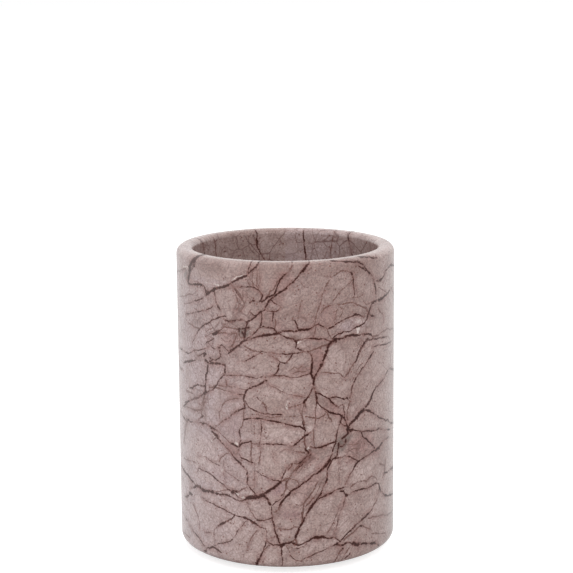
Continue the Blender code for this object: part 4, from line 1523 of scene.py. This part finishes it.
    def ground_light_and_shade_group(self) -> bpy.types.NodeTree:
        """Make the group of the ground between the veins.

        Returns:
            A group that gives the ground's colour at a place, with painted light on the lower front and
            painted shade under the rim and towards the top.
        """
        inputs = {"Place": VECTOR, "Around": FLOAT, "Height": FLOAT}
        design = GroupDesign("marble_ground_light_and_shade", inputs, {"Color": COLOUR})
        graph = design.graph
        place = design.given["Place"]
        point = (design.given["Around"], design.given["Height"])
        colour = graph.mix(self.drift.value(graph, place), self.ground, self.ground_dim)
        cloud = self.cloud.noise(graph, place)
        colour = graph.mix(graph.ramp(cloud, *self.cloud.band), colour, self.ground_light)
        shifted = graph.vector("ADD", place, self.shade_shift)
        colour = graph.mix(self.shade.value(graph, shifted), colour, self.ground_dim)
        # Besides the stone's own tints, the pale patches paint light on the lower front and the dim patches
        # paint shade under the rim and towards the top
        tints = (
            (COOL_PATCHES, self.ground_cool, self.strong_most),
            (PALE_AND_LIT_PATCHES, self.ground_pale_and_lit, self.patch_most),
            (DIM_AND_SHADE_PATCHES, self.ground_dark_and_shade, self.patch_most),
            (BLUSHES, self.blush, self.patch_most),
            (MAUVE_PATCHES, self.mauve, self.patch_most),
            (GREY_PATCHES, self.grey, self.strong_most),
        )
        for patches, tint, most in tints:
            share = graph.most((patch.value(graph, *point) for patch in patches), 0.0)
            broken = graph.math("MULTIPLY", share, graph.ramp(cloud, *self.patch_break))
            colour = graph.mix(graph.math("MULTIPLY", broken, most), colour, tint)
        return design.close({"Color": colour})

    def network_group(self) -> bpy.types.NodeTree:
        """Make the group of the fine crack network.

        Returns:
            A group that gives hairlines all over, and full veins where none are drawn.
        """
        inputs = {"Place": VECTOR, "Around": FLOAT, "Height": FLOAT, "Drawn": FLOAT}
        design = GroupDesign("crack_network", inputs, {"Hair": FLOAT, "Vein": FLOAT})
        graph = design.graph
        place = design.given["Place"]
        bent = graph.bend(place, place, self.hair_bends, 2.0)
        layers = (
            layer.value(graph, bent, graph.noise(place, layer.grain * self.hair_spread, 2.0))
            for layer in self.hair_layers
        )
        hair = graph.most(layers, 0.0)
        bare = graph.math("SUBTRACT", 1.0, design.given["Drawn"])
        aside = graph.math("ABSOLUTE", design.given["Around"])
        room = graph.math("MAXIMUM", graph.ramp(aside, *self.hair_room), bare)
        hair = graph.math("MULTIPLY", hair, room)
        hair = graph.math("MAXIMUM", hair, self.crazing(graph, place, design.given))
        edge = graph.cells(bent, self.bare_grain)
        vein = graph.math("MULTIPLY", graph.ramp(edge, 0.0, self.bare_reach, 1.0, 0.0), bare)
        return design.close({"Hair": hair, "Vein": vein})

    def crazing(self, graph: Graph, place: Socket, given: dict[str, Socket]) -> Socket:
        """Add the thin straight lines that craze the ground.

        Args:
            graph: the graph of the crack network.
            place: the place in millimetres.
            given: the network's inputs, with the point on the unrolled wall in millimetres.

        Returns:
            How strongly a line shows.
        """
        point = (given["Around"], given["Height"])
        crowd = graph.most((patch.value(graph, *point) for patch in CRAZED_PATCHES), self.craze_least)
        bent = graph.bend(place, place, self.craze_bends, 2.0)
        lines: Value = 0.0
        for layer in self.craze_layers:
            turn = (0.0, -math.radians(layer.lean), 0.0)
            inputs = {"Vector": bent, "Rotation": turn, "Scale": (layer.stretch, 1.0, 1.0)}
            drawn_out = graph.node("ShaderNodeMapping", inputs, vector_type="TEXTURE").outputs[0]
            shown = graph.noise(place, layer.grain * self.craze_spread, 1.0)
            lines = graph.math("MAXIMUM", layer.value(graph, drawn_out, shown), lines)
        return graph.math("MULTIPLY", lines, crowd)

    def speckle(self, graph: Graph, place: Socket, colour: Socket) -> Socket:
        """Strew fine dark dots and a faint grain over a colour.

        Args:
            graph: the material's graph.
            place: the place in millimetres.
            colour: the colour below.

        Returns:
            The speckled colour.
        """
        crowd = self.dot_crowd.value(graph, place)
        for spacing, reach, most in self.dots:
            far = graph.cells(place, spacing, "F1")
            dots = graph.ramp(far, self.dot_core * reach / spacing, reach / spacing, most, 0.0)
            colour = graph.mix(graph.math("MULTIPLY", dots, crowd), colour, self.vein_rim)
        grain = self.grain.value(graph, place)
        grey = graph.node("ShaderNodeCombineXYZ", {0: grain, 1: grain, 2: grain}).outputs[0]
        return graph.mix(1.0, colour, grey, "MULTIPLY")


@dataclass(frozen=True)
class FeltFinish:
    """Dark pressed wool felt.

    Attributes:
        wool, shade, fibre: its colours.
        roughness, sheen: how matt it is, and how much it shines at its edges.
        clumps: how the wool clumps.
        bends, strand, strand_band: how its fibres waver, the spacing between them in millimetres, and how a
            fibre shows.
        bump, bump_height: strength and height of its relief.
    """

    wool: Colour = srgb(84, 74, 67)
    shade: Colour = srgb(58, 50, 45)
    fibre: Colour = srgb(122, 110, 101)
    roughness: float = 0.96
    sheen: float = 0.35
    clumps: Cloud = Cloud(1.1, 4.0, (0.35, 0.65, 0.0, 1.0), 0.65)
    bends: tuple[Point, ...] = ((0.7, 1.6),)
    strand: float = 0.42
    strand_band: Band = (0.0, 0.12, 0.55, 0.0)
    bump: float = 0.5
    bump_height: float = 0.0002

    def material(self) -> bpy.types.Material:
        """Make the felt's material.

        Returns:
            The material, read in Object coordinates.
        """
        design = MaterialDesign("wool_felt")
        graph = design.graph
        place = graph.place_on_piece()
        clumps = self.clumps.noise(graph, place)
        colour = graph.mix(graph.ramp(clumps, *self.clumps.band), self.shade, self.wool)
        strands = graph.cells(graph.bend(place, place, self.bends, 2.0), self.strand)
        colour = graph.mix(graph.ramp(strands, *self.strand_band), colour, self.fibre)
        inputs = {"Height": clumps, "Strength": self.bump, "Distance": self.bump_height}
        normal = graph.node("ShaderNodeBump", inputs).outputs[0]
        return design.close(
            {"Base Color": colour, "Normal": normal, "Roughness": self.roughness, "Sheen Weight": self.sheen}
        )


@dataclass(frozen=True)
class FilmFinish:
    """Cream adhesive film with a faint stain."""

    film: Colour = srgb(222, 214, 198)
    stain: Colour = srgb(205, 194, 172)
    clouds: Cloud = Cloud(2.0, 3.0, (0.4, 0.65, 0.0, 1.0))
    roughness: float = 0.45

    def material(self) -> bpy.types.Material:
        """Make the film's material.

        Returns:
            The material, read in Object coordinates.
        """
        design = MaterialDesign("adhesive_film")
        graph = design.graph
        colour = graph.mix(self.clouds.value(graph, graph.place_on_piece()), self.film, self.stain)
        return design.close({"Base Color": colour, "Roughness": self.roughness})


# Pieces

# How near a place has to be to count as the same, how level a level face is, and the profile of a true arc
SNAP = 1e-5
NEAR = 1e-4
LEVEL = 0.99
ARC_PROFILE = 0.5


class Editing:
    """Edit mode on one piece, for the length of a with block."""

    def __init__(self, piece: bpy.types.Object) -> None:
        """Keep the piece."""
        self.piece = piece

    def __enter__(self) -> "Editing":
        """Open the piece with nothing selected."""
        bpy.ops.object.select_all(action="DESELECT")
        self.piece.select_set(True)
        bpy.context.view_layer.objects.active = self.piece
        bpy.ops.object.mode_set(mode="EDIT")
        bpy.ops.mesh.select_all(action="DESELECT")
        return self

    def __exit__(self, *_: object) -> None:
        """Go back to object mode."""
        bpy.ops.object.mode_set(mode="OBJECT")

    def pick_faces(self, wanted: Callable[[bmesh.types.BMFace], bool]) -> None:
        """Select just the faces that are wanted."""
        self._pick("FACE", lambda shape: shape.faces, wanted)

    def pick_edges(self, wanted: Callable[[bmesh.types.BMEdge], bool]) -> None:
        """Select just the edges that are wanted."""
        self._pick("EDGE", lambda shape: shape.edges, wanted)

    def _pick(self, mode: str, parts: Callable, wanted: Callable) -> None:
        """Select just the wanted faces or edges.

        Args:
            mode: the select mode.
            parts: gives the faces or edges of a mesh.
            wanted: says whether one of them is wanted.
        """
        bpy.ops.mesh.select_mode(type=mode)
        bpy.ops.mesh.select_all(action="DESELECT")
        shape = bmesh.from_edit_mesh(self.piece.data)
        for part in parts(shape):
            if wanted(part):
                part.select_set(True)
        bmesh.update_edit_mesh(self.piece.data)

    def bevel(self, radius: float, height: float, rounding: float, steps: int) -> None:
        """Round the circular edge of a radius at a height."""
        self.pick_edges(ring_at(radius, height))
        bpy.ops.mesh.bevel(offset=rounding, segments=steps, profile=ARC_PROFILE, affect="EDGES")

    def cut_wall(self, radius: float, cuts: int) -> None:
        """Cut the upright wall at a radius into rings."""
        self.pick_edges(upright(radius))
        bpy.ops.mesh.subdivide(number_cuts=cuts)

    def cut_disc(self, height: float, radius: float, rings: int) -> None:
        """Cut the level disc at a height into rings that meet in its middle."""
        self.pick_faces(flat_at(height))
        for _ in range(rings):
            bpy.ops.mesh.inset(thickness=radius / (rings + 1))
        bpy.ops.mesh.poke()


def flat_at(height: float) -> Callable[[bmesh.types.BMFace], bool]:
    """Make a test for a level face at a height."""
    return lambda face: abs(face.normal.z) > LEVEL and abs(face.calc_center_median().z - height) < SNAP


def ring_at(radius: float, height: float) -> Callable[[bmesh.types.BMEdge], bool]:
    """Make a test for an edge on the level circle of a radius at a height."""
    def wanted(edge: bmesh.types.BMEdge) -> bool:
        """Whether both ends of the edge are on the circle."""
        return all(
            abs(end.co.z - height) < NEAR and abs(math.hypot(end.co.x, end.co.y) - radius) < NEAR
            for end in edge.verts
        )

    return wanted


def upright(radius: float) -> Callable[[bmesh.types.BMEdge], bool]:
    """Make a test for an upright edge at a radius."""
    def wanted(edge: bmesh.types.BMEdge) -> bool:
        """Whether the edge stands upright at that radius."""
        low, high = (end.co for end in edge.verts)
        level = math.hypot(low.x - high.x, low.y - high.y)
        return level < NEAR and abs(math.hypot(low.x, low.y) - radius) < NEAR and abs(low.z - high.z) > NEAR

    return wanted


def block(name: str, radius: float, low: float, high: float, sides: int) -> bpy.types.Object:
    """Add a plain round block on the axis, as the start of a piece.

    Args:
        name: the piece's name.
        radius: its radius.
        low, high: heights of its two faces.
        sides: how finely it is turned.

    Returns:
        The block's mesh object at the origin.
    """
    bpy.ops.object.select_all(action="DESELECT")
    middle = (low + high) / 2
    bpy.ops.mesh.primitive_cylinder_add(
        vertices=sides, radius=radius, depth=high - low, location=(0, 0, middle)
    )
    piece = bpy.context.object
    piece.name = piece.data.name = name
    bpy.ops.object.transform_apply(location=True, rotation=True, scale=True)
    return piece


def hand_in(piece: bpy.types.Object, nodes: Iterable[str]) -> None:
    """Attach a finished piece to the body and hide the CAD nodes that it stands for.

    Args:
        piece: the finished piece, at the origin.
        nodes: the CAD nodes that it stands for.
    """
    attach(piece, BODY)
    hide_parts(*nodes)
    LOG.info("%s: %d faces", piece.name, len(piece.data.polygons))


@dataclass
class CupBody:
    """The stone cup: a turned block with a blind bore.

    Attributes:
        radius, height, bottom: its outer radius, its height, and how high its underside is.
        wall, floor: thickness of its wall and floor.
        rim_outer, rim_inner, base, corner: radii of its rounded edges.
        segments, round_steps: how finely it is turned, and how finely an edge is rounded.
        outer_cuts, bore_cuts, disc_rings: how many rings cut its outer wall, its bore and its level discs.
    """

    radius: float = CUP_RADIUS
    height: float = 0.104
    bottom: float = CUP_BOTTOM
    wall: float = 0.0058
    floor: float = 0.009
    rim_outer: float = 0.0025
    rim_inner: float = 0.0020
    base: float = 0.0025
    corner: float = 0.0030
    segments: int = 240
    round_steps: int = 8
    outer_cuts: int = 60
    bore_cuts: int = 40
    disc_rings: int = 5

    # The flat sheet of its skin: the margin, the bore's share of the outer wall's scale, the place of the
    # second disc in disc radii, how far the outer wall reaches onto the rim, and how level a disc's face is
    MARGIN = 0.004
    BORE_SCALE = 0.72
    SECOND_DISC = 3.1
    RIM_LAND = 0.0006
    DISC_LEVEL = 0.999

    def build(self) -> bpy.types.Object:
        """Turn the cup.

        Returns:
            The cup's mesh object at the origin.
        """
        top = self.bottom + self.height
        bore = self.radius - self.wall
        bore_floor = self.bottom + self.floor
        cup = block("stone_cup", self.radius, self.bottom, top, self.segments)
        with Editing(cup) as edit:
            edit.pick_faces(flat_at(top))
            bpy.ops.mesh.inset(thickness=self.wall)
            sink = (0, 0, self.floor - self.height)
            bpy.ops.mesh.extrude_region_move(TRANSFORM_OT_translate={"value": sink})
            edit.bevel(self.radius, top, self.rim_outer, self.round_steps)
            edit.bevel(bore, top, self.rim_inner, self.round_steps)
            edit.bevel(self.radius, self.bottom, self.base, self.round_steps)
            edit.bevel(bore, bore_floor, self.corner, self.round_steps)
            edit.cut_wall(self.radius, self.outer_cuts)
            edit.cut_wall(bore, self.bore_cuts)
            edit.cut_disc(self.bottom, self.radius - self.base, self.disc_rings)
            edit.cut_disc(bore_floor, bore - self.corner, self.disc_rings)
            bpy.ops.mesh.select_all(action="SELECT")
            bpy.ops.mesh.normals_make_consistent(inside=False)
        bpy.ops.object.shade_smooth()
        self.unwrap(cup)
        return cup

    def unwrap(self, cup: bpy.types.Object) -> None:
        """Lay the cup's skin out flat: the outer wall across the whole sheet, then the bore, then the discs.

        Args:
            cup: the turned cup.
        """
        mesh = cup.data
        for layer in list(mesh.uv_layers):
            mesh.uv_layers.remove(layer)
        layer = mesh.uv_layers.new(name="OFBake")
        margin = self.MARGIN
        sheet = 1 - 2 * margin
        scale = sheet / (math.tau * self.radius)
        bore_scale = scale * self.BORE_SCALE
        bore = self.radius - self.wall
        bore_bottom = 2 * margin + (self.height + self.base + self.rim_outer) * scale
        bore_height = (self.height - self.floor + self.corner + self.rim_inner) * bore_scale
        disc_bottom = bore_bottom + bore_height + 2 * margin
        disc_scale = (1 - margin - disc_bottom) / (2 * self.radius)
        top = self.bottom + self.height
        land = self.radius - self.rim_outer - self.RIM_LAND
        for face in mesh.polygons:
            centre = face.center
            middle_turn = math.atan2(centre.x, -centre.y)
            middle_radius = math.hypot(centre.x, centre.y)
            level = abs(face.normal.z) > self.DISC_LEVEL
            for loop in face.loop_indices:
                spot = mesh.vertices[mesh.loops[loop].vertex_index].co
                turn = math.atan2(spot.x, -spot.y)
                turn += math.tau * round((middle_turn - turn) / math.tau)
                share = turn / math.tau + 0.5
                spread = math.hypot(spot.x, spot.y)
                if level and centre.z < top - self.rim_outer:
                    under = centre.z < self.bottom + self.floor / 2
                    middle = margin + self.radius * disc_scale * (1 if under else self.SECOND_DISC)
                    across = middle + spot.x * disc_scale
                    up_sheet = disc_bottom + (spot.y + self.radius) * disc_scale
                elif middle_radius > land:
                    up = spot.z - self.bottom + self.base / 2
                    if spot.z < self.bottom + self.base:
                        up -= (self.radius - spread) / 2
                    if spot.z > top - self.rim_outer:
                        up += (self.radius - spread) / 2
                    across = margin + share * sheet
                    up_sheet = 2 * margin + up * scale
                else:
                    up = spot.z - self.bottom - self.floor + self.corner / 2
                    if spot.z < self.bottom + self.floor + self.corner:
                        up -= (bore - spread) / 2
                    if spot.z > top - self.rim_inner:
                        up += (spread - bore) / 2
                    across = margin + share * sheet * self.BORE_SCALE
                    up_sheet = bore_bottom + margin + up * bore_scale
                layer.data[loop].uv = (across, up_sheet)

    def dress(self, cup: bpy.types.Object, finish: StoneFinish) -> None:
        cup.data.materials.append(finish.material())
        hand_in(cup, ["cup_body"])


@dataclass
class PadSet:
    """Four felt pads, each bonded to the stone by a disc of film.

    Attributes:
        pad_radius, pad_height: size of a pad.
        film_radius, film_bottom, film_top: radius of a film, and between which heights it lies.
        edge, film_edge: rounding of a pad's edge and of a film's.
        sides, rings, edge_steps, side_cuts: how finely a disc is cut round, across, on its edges and up.
        unevenness, clump, clump_layers: how far the felt's surface wanders, and its clumps' size and layers.
    """

    pad_radius: float = 0.0060
    pad_height: float = 0.0023
    film_radius: float = 0.0056
    film_bottom: float = 0.0023
    film_top: float = 0.0029
    edge: float = 0.0005
    film_edge: float = 0.00008
    sides: int = 72
    rings: int = 9
    edge_steps: int = 3
    side_cuts: int = 2
    unevenness: float = 0.00016
    clump: float = 0.0011
    clump_layers: int = 3

    def disc(self, name: str, radius: float, low: float, high: float, edge: float) -> bpy.types.Object:
        """Model one disc on the axis.

        Args:
            name: the piece's name.
            radius: its radius.
            low, high: heights of its two faces.
            edge: rounding of its edges.

        Returns:
            The disc's mesh object.
        """
        disc = block(name, radius, low, high, self.sides)
        with Editing(disc) as edit:
            for height in (low, high):
                edit.bevel(radius, height, edge, self.edge_steps)
            edit.cut_wall(radius, self.side_cuts)
            for height in (low, high):
                edit.cut_disc(height, radius - edge, self.rings)
        bpy.ops.object.shade_smooth()
        return disc

    def ruffle(self, pad: bpy.types.Object) -> None:
        """Let the felt's surface wander inwards, as cut felt does.

        Args:
            pad: the pad.
        """
        cloud = bpy.data.textures.new("felt_clumps", "CLOUDS")
        cloud.noise_scale = self.clump
        cloud.noise_depth = self.clump_layers
        wander = pad.modifiers.new("Wander", "DISPLACE")
        wander.texture = cloud
        wander.texture_coords = "LOCAL"
        wander.mid_level = 1.0
        wander.strength = self.unevenness
        bpy.context.view_layer.objects.active = pad
        bpy.ops.object.modifier_apply(modifier=wander.name)
        bpy.data.textures.remove(cloud)

    def set_out(self, first: bpy.types.Object, name: str) -> list[bpy.types.Object]:
        """Copy a disc to each pad's place.

        Args:
            first: the disc on the axis, which becomes the first of the set.
            name: the set's name.

        Returns:
            The discs, each with its own mesh and its object at the origin.
        """
        discs = [first]
        for _ in PAD_ANGLES[1:]:
            copy = first.copy()
            copy.data = first.data.copy()
            bpy.context.scene.collection.objects.link(copy)
            discs.append(copy)
        for index, (disc, degrees) in enumerate(zip(discs, PAD_ANGLES)):
            angle = math.radians(degrees)
            spot = Vector((math.cos(angle), math.sin(angle), 0.0)) * PAD_RING_RADIUS
            disc.data.transform(Matrix.Translation(spot) @ Matrix.Rotation(angle * (index + 1), 4, "Z"))
            disc.name = disc.data.name = f"{name}_{index + 1}"
        return discs

    def build(self, felt: FeltFinish, film: FilmFinish) -> None:
        """Args:
            felt: the pads' finish.
            film: the films' finish.
        """
        pad = self.disc("felt_disc", self.pad_radius, 0.0, self.pad_height, self.edge)
        self.ruffle(pad)
        pad.data.materials.append(felt.material())
        for index, piece in enumerate(self.set_out(pad, "felt_disc")):
            hand_in(piece, [f"felt_pad_{index + 1}"])
        sheet = self.disc("film_disc", self.film_radius, self.film_bottom, self.film_top, self.film_edge)
        sheet.data.materials.append(film.material())
        for index, piece in enumerate(self.set_out(sheet, "film_disc")):
            hand_in(piece, [f"pad_film_{index + 1}"])


# Camera, floor and light

@dataclass(frozen=True)
class Lamp:
    """A soft square lamp.

    Attributes:
        name: its name.
        place: where it is.
        aim: what it points at.
        size: length of its side.
        watts: how strong it is.
    """

    name: str
    place: Place
    aim: Place
    size: float
    watts: float

    def build(self) -> None:
        """Put the lamp in the scene."""
        data = bpy.data.lights.new(self.name, "AREA")
        data.shape = "SQUARE"
        data.size = self.size
        data.energy = self.watts
        lamp = bpy.data.objects.new(self.name, data)
        lamp.location = self.place
        way = Vector(self.aim) - Vector(self.place)
        lamp.rotation_euler = way.to_track_quat("-Z", "Y").to_euler()
        lamp.visible_glossy = False
        bpy.context.scene.collection.objects.link(lamp)


@dataclass(frozen=True)
class Studio:
    """A white floor, soft light and the camera.

    Attributes:
        distance, eye_height: how far the camera is from the cup's axis, and how high.
        pitch, yaw, roll: how far it looks down and to the right, and leans, in degrees.
        focal_pixels, frame_pixels: its focal length and the picture's width in pixels.
        sensor, clip: its sensor's width in millimetres, and how near and far it sees.
        fill: strength of the surroundings' light.
        mirrored: how bright the surroundings look in polished stone, by degrees round the cup.
        overhead, overhead_rise: how much brighter they look there above the horizon, and over which rise.
        beneath, beneath_rise: how much of them is left there in the shade under the cup, and over which rise.
        floor_glow, floor_white, floor_half: the floor's brightness in pictures, its colour and half its side.
        lamps: the lamps.
    """

    distance: float = 0.5844
    eye_height: float = 0.2064
    pitch: float = 11.089
    yaw: float = 0.0316
    roll: float = -0.478
    focal_pixels: float = 1721.9
    frame_pixels: float = 573.0
    sensor: float = 36.0
    clip: Point = (0.01, 50.0)
    fill: float = 0.585
    mirrored: tuple[Point, ...] = (
        (-180, 1.1), (-140, 1.35), (-105, 1.55), (-75, 1.4), (-45, 0.9), (-20, 0.4), (0, 0.2), (40, 0.15),
        (80, 0.45), (110, 1.0), (140, 1.2), (180, 1.1),
    )
    overhead: float = 0.4
    overhead_rise: Point = (0.0, 0.3)
    beneath: float = 0.1
    beneath_rise: Point = (-0.9, -0.42)
    floor_glow: float = 0.7
    floor_white: float = 0.8
    floor_half: float = 6.0
    lamps: tuple[Lamp, ...] = (
        Lamp("key", (0.3, -1.1, 0.75), (0.0, 0.0, 0.05), 0.8, 7.5),
        Lamp("left", (-0.9, -0.6, 0.6), (0.0, 0.0, 0.05), 0.7, 2.0),
        Lamp("top", (0.0, 0.3, 1.1), (0.0, 0.0, 0.1), 0.8, 4.0),
    )

    def build(self) -> None:
        """Put the camera, the floor and the light in the scene."""
        bpy.context.scene.view_settings.view_transform = "Standard"
        self.camera()
        self.floor()
        self.world()
        for lamp in self.lamps:
            lamp.build()

    def camera(self) -> None:
        """Set up the camera."""
        data = bpy.data.cameras.new("camera")
        data.sensor_width = self.sensor
        data.lens = self.focal_pixels / self.frame_pixels * self.sensor
        data.clip_start, data.clip_end = self.clip
        camera = bpy.data.objects.new("camera", data)
        camera.location = (0.0, -self.distance, self.eye_height)
        pan = Matrix.Rotation(math.radians(-self.yaw), 3, "Z")
        tilt = Matrix.Rotation(math.radians(90 - self.pitch), 3, "X")
        lean = Matrix.Rotation(math.radians(self.roll), 3, "Z")
        camera.rotation_euler = (pan @ tilt @ lean).to_euler()
        bpy.context.scene.collection.objects.link(camera)
        bpy.context.scene.camera = camera

    def floor(self) -> None:
        """Lay the floor, which stays white in pictures and keeps the cup's shadow."""
        bpy.ops.object.select_all(action="DESELECT")
        bpy.ops.mesh.primitive_plane_add(size=2 * self.floor_half)
        floor = bpy.context.object
        floor.name = "floor"
        design = MaterialDesign("floor")
        graph = design.graph
        path = graph.node("ShaderNodeLightPath", {})
        glow = graph.math("MULTIPLY", self.seen(graph, path), self.floor_glow)
        material = design.close({
            "Base Color": (self.floor_white,) * 3 + (1.0,),
            "Roughness": 1.0,
            "Specular IOR Level": 0.0,
            "Emission Color": WHITE,
            "Emission Strength": glow,
        })
        floor.data.materials.append(material)
        floor.visible_glossy = False

    def seen(self, graph: Graph, path: bpy.types.Node) -> Socket:
        """Whether a ray shows its end in the picture, straight or through glass."""
        return graph.math("MAXIMUM", path.outputs["Is Camera Ray"], path.outputs["Is Transmission Ray"])

    def world(self) -> None:
        """Surround the scene with plain white, dimmer as light, and brighter on the left in reflections."""
        world = bpy.data.worlds.new("studio")
        world.use_nodes = True
        bpy.context.scene.world = world
        graph = Graph(world.node_tree)
        path = graph.node("ShaderNodeLightPath", {})
        way = graph.node("ShaderNodeTexCoord", {}).outputs["Generated"]
        axes = graph.node("ShaderNodeSeparateXYZ", {0: way}).outputs
        share = graph.math("MULTIPLY_ADD", graph.turn(axes["X"], axes["Y"]), 1 / math.tau, 0.5)
        curve = graph.node("ShaderNodeFloatCurve", {"Value": share})
        shares = [(degrees / 360 + 0.5, brightness) for degrees, brightness in self.mirrored]
        draw_curve(curve.mapping.curves[0], shares)
        curve.mapping.use_clip = False
        curve.mapping.update()
        strength = graph.math("MULTIPLY_ADD", self.seen(graph, path), 1 - self.fill, self.fill)
        above = graph.ramp(axes["Z"], *self.overhead_rise, 0.0, self.overhead)
        shade = graph.ramp(axes["Z"], *self.beneath_rise, self.beneath, 1.0)
        glance = graph.math("MULTIPLY", graph.math("ADD", curve.outputs[0], above), shade)
        extra = graph.math("SUBTRACT", glance, self.fill)
        strength = graph.math("MULTIPLY_ADD", path.outputs["Is Glossy Ray"], extra, strength)
        graph.feed(world.node_tree.nodes["Background"], {"Color": WHITE, "Strength": strength})


def main() -> None:
    """Build the cup, its pads and the studio."""
    logging.basicConfig(level=logging.INFO, format="%(name)s: %(message)s")
    cup = CupBody()
    cup.dress(cup.build(), StoneFinish())
    PadSet().build(FeltFinish(), FilmFinish())
    Studio().build()


if __name__ == "__main__":
    main()
